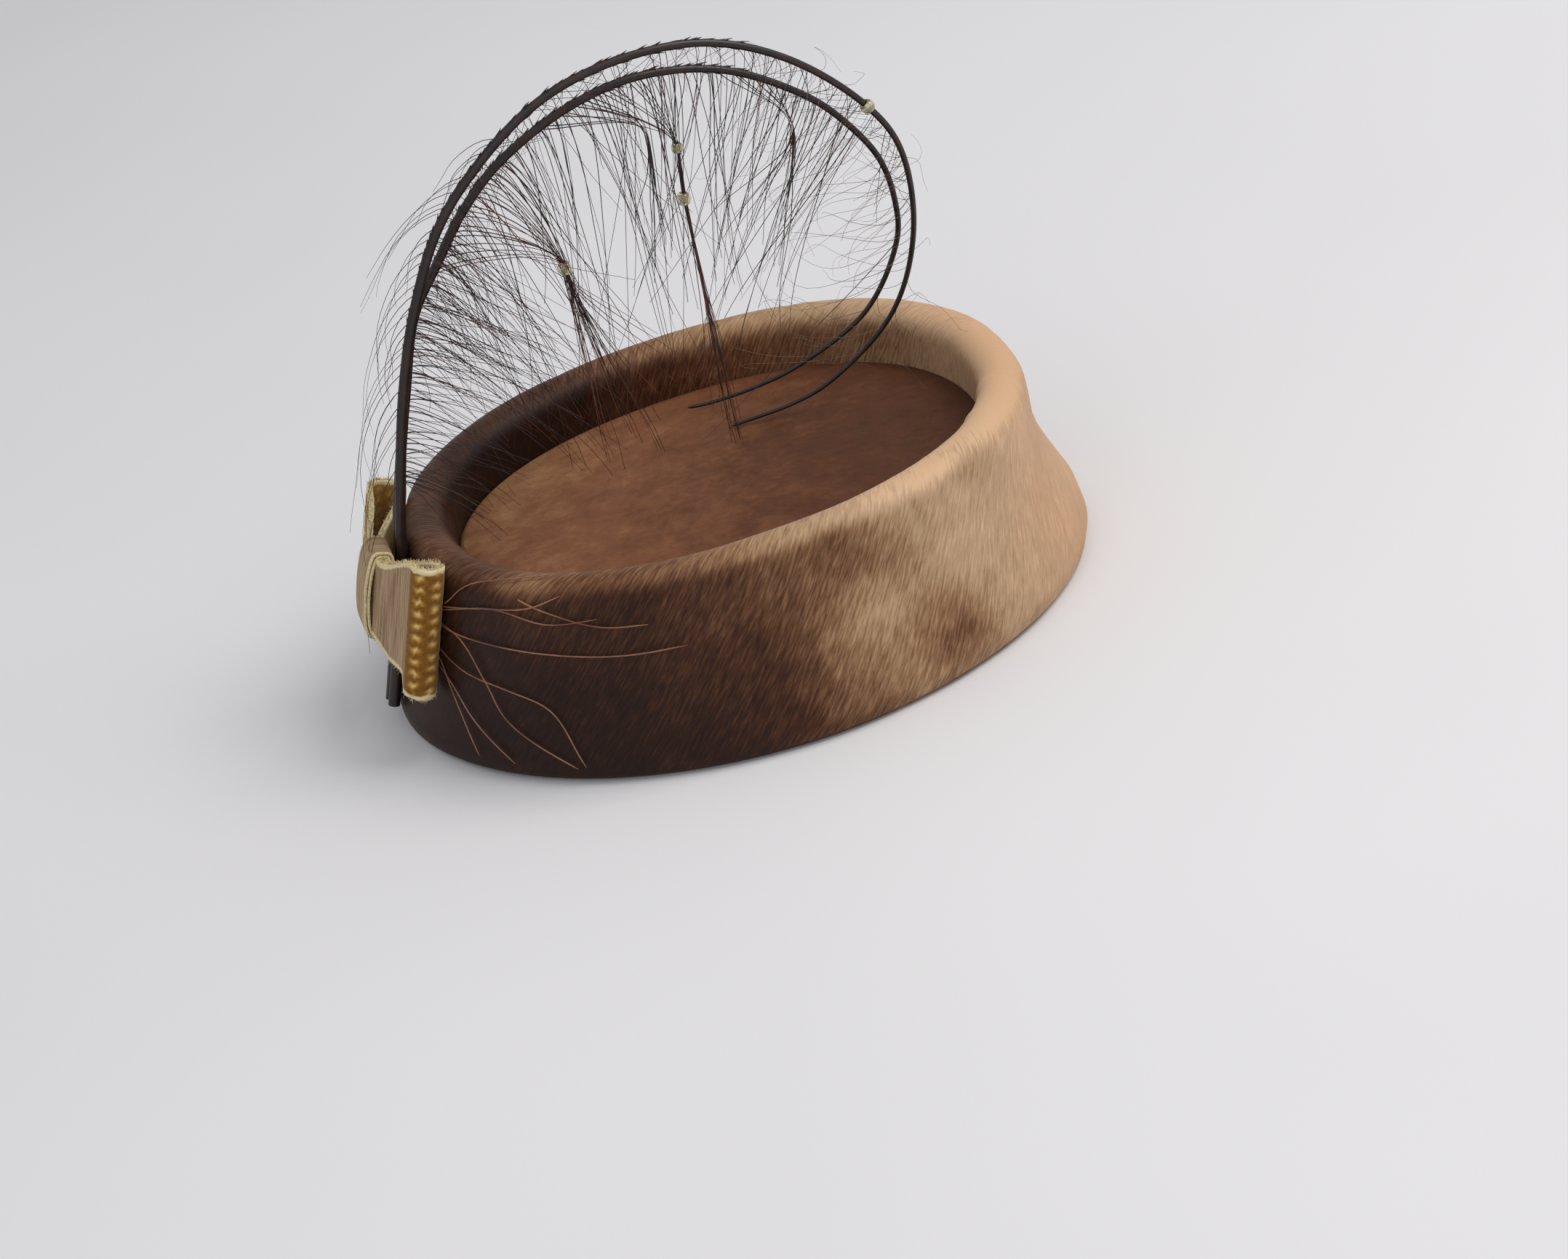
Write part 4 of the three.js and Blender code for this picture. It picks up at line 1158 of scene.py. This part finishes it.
frayed_edge = make_strand("frayed_ribbon_edge", "#B9A26C", "#E6D9B2", 2.0, 0.9)
LOOP_FRAYS, WRAP_FRAYS = 4, 3
fray_lines = []
for place, up_or_down in near_fray + far_fray:
    for _ in range(LOOP_FRAYS):
        sprout = Vector((dice.gauss(0, 0.5), dice.gauss(0, 0.5), up_or_down * dice.uniform(0.3, 1.1)))
        start = place + Vector((dice.gauss(0, 0.3), dice.gauss(0, 0.3), 0))
        fray_lines.append([(start, 0.09), (start + sprout * 0.9, 0.04)])
for place, _ in wrap_fray + pile_fray:
    for _ in range(WRAP_FRAYS):
        way = 1 if place.y > 0 else -1
        sprout = Vector((dice.gauss(0, 0.25), way * dice.uniform(0.2, 0.8), dice.gauss(0, 0.3)))
        fray_lines.append([(place, 0.08), (place + sprout, 0.04)])
rod_curves("ribbon_fray", fray_lines, frayed_edge, "ribbon_velvet", sides=0)

# %% [markdown]
# The beads are drilled glass, pressed and fire polished, in a very pale yellow. A bead is spun from an
# arc and the straight bore that closes it, around the line that it is threaded on. It is real glass in
# the shader too, so it picks up the pale room and the dark barbs inside it.

# %% Drilled glass beads
BEAD_HOLE = 0.95
BEAD_ARC = 14
BEAD_STEPS = 32
QUILL_BEAD_WALL = 0.7


def make_bead_glass():
    material, tree, shader = new_material(
        "pressed_glass_bead",
        Roughness=0.06,
        IOR=1.51,
        Transmission_Weight=0.85,
        Coat_Weight=0.3,
        Coat_Roughness=0.05,
    )
    place = add_node(tree, "ShaderNodeTexCoord", out="Object")
    streaks = {"Vector": place, "Scale": 1 / (1.2 * MM), "Detail": 2.0}
    streaks = add_node(tree, "ShaderNodeTexNoise", streaks)
    shades = [(0.35, "#E9E0B4"), (0.65, "#F6F2DA")]
    colour = add_node(tree, "ShaderNodeValToRGB", {"Fac": streaks}, stops=shades)
    tree.links.new(colour, shader.inputs["Base Color"])
    return material


bead_glass = make_bead_glass()


def make_bead(node, radius, hole, along):
    bm = bmesh.new()
    opening = math.asin(hole / radius)
    points = []
    for i in range(BEAD_ARC + 1):
        angle = mix(opening, math.pi - opening, i / BEAD_ARC)
        points.append(Vector((radius * math.sin(angle), 0, -radius * math.cos(angle))))
    verts, edges = chain(bm, points, closed=True)
    spin = {"cent": (0, 0, 0), "axis": (0, 0, 1), "angle": TAU, "steps": BEAD_STEPS, "use_merge": True}
    bmesh.ops.spin(bm, geom=verts + edges, **spin)
    bmesh.ops.recalc_face_normals(bm, faces=bm.faces)
    bmesh.ops.rotate(bm, verts=bm.verts, matrix=along.to_track_quat("Z", "Y").to_matrix())
    for vert in bm.verts:
        vert.co = to_metres(vert.co + bead_middles[node])
    finish_mesh("glass_" + node, bm, bead_glass, "bead_glass", node)


upright = Vector((0.1, 0, 1))
for node, radius in (("bead_1", 1.95), ("bead_2", 1.6), ("bead_3", 1.95)):
    make_bead(node, radius, BEAD_HOLE, upright)
threaded = min(range(len(outer_route)), key=lambda i: (outer_route[i] - bead_middles["bead_4"]).length)
threaded_share = threaded / (len(outer_route) - 1)
shaft_hole = mix(QUILL_BUTT_RADIUS, QUILL_TIP_RADIUS, threaded_share**SHAFT_TAPER) + SEAM_GAP
along_shaft = outer_route[threaded + 1] - outer_route[threaded - 1]
make_bead("bead_4", shaft_hole + QUILL_BEAD_WALL, shaft_hole, along_shaft)

# %% [markdown]
# The picture is lit like a room with a large window: a broad soft light from above the front, a weak one
# from behind the camera, and a pale world that fills the shadows. The floor is a plain pale cool grey.

# %% Floor, lights and world
FLOOR_SIZE = 6.0


def make_floor():
    material, tree, shader = new_material("matt_floor_paint", Roughness=0.9, Specular_IOR_Level=0.1)
    place = add_node(tree, "ShaderNodeTexCoord", out="Object")
    mottle = add_node(tree, "ShaderNodeTexNoise", {"Vector": place, "Scale": 3.0, "Detail": 2.0})
    shades = [(0.3, "#DADADC"), (0.7, "#DFDFE1")]
    colour = add_node(tree, "ShaderNodeValToRGB", {"Fac": mottle}, stops=shades)
    tree.links.new(colour, shader.inputs["Base Color"])
    bm = bmesh.new()
    bmesh.ops.create_grid(bm, x_segments=2, y_segments=2, size=FLOOR_SIZE / 2)
    mesh = bpy.data.meshes.new("floor")
    bm.to_mesh(mesh)
    bm.free()
    mesh.materials.append(material)
    floor = bpy.data.objects.new("floor", mesh)
    bpy.context.scene.collection.objects.link(floor)


def soft_light(name, place, size, power, colour):
    data = bpy.data.lights.new(name, "AREA")
    data.shape = "SQUARE"
    data.size = size
    data.energy = power
    data.color = linear(colour)[:3]
    light = bpy.data.objects.new(name, data)
    bpy.context.scene.collection.objects.link(light)
    light.location = place
    light.rotation_euler = (-Vector(place)).to_track_quat("-Z", "Y").to_euler()


make_floor()
soft_light("window_light", (0.8, -0.3, 1.2), 0.9, 12, "#FFFAF4")
soft_light("camera_side_fill", (-0.6, -1.2, 1.0), 1.2, 3, "#FFFDFA")
world = bpy.data.worlds.new("pale_room")
world.use_nodes = True
sky = world.node_tree.nodes["Background"]
sky.inputs["Color"].default_value = linear("#EDEEF2")
sky.inputs["Strength"].default_value = 0.66
bpy.context.scene.world = world
bpy.context.scene.view_settings.view_transform = "Standard"
print("lights and floor are set")
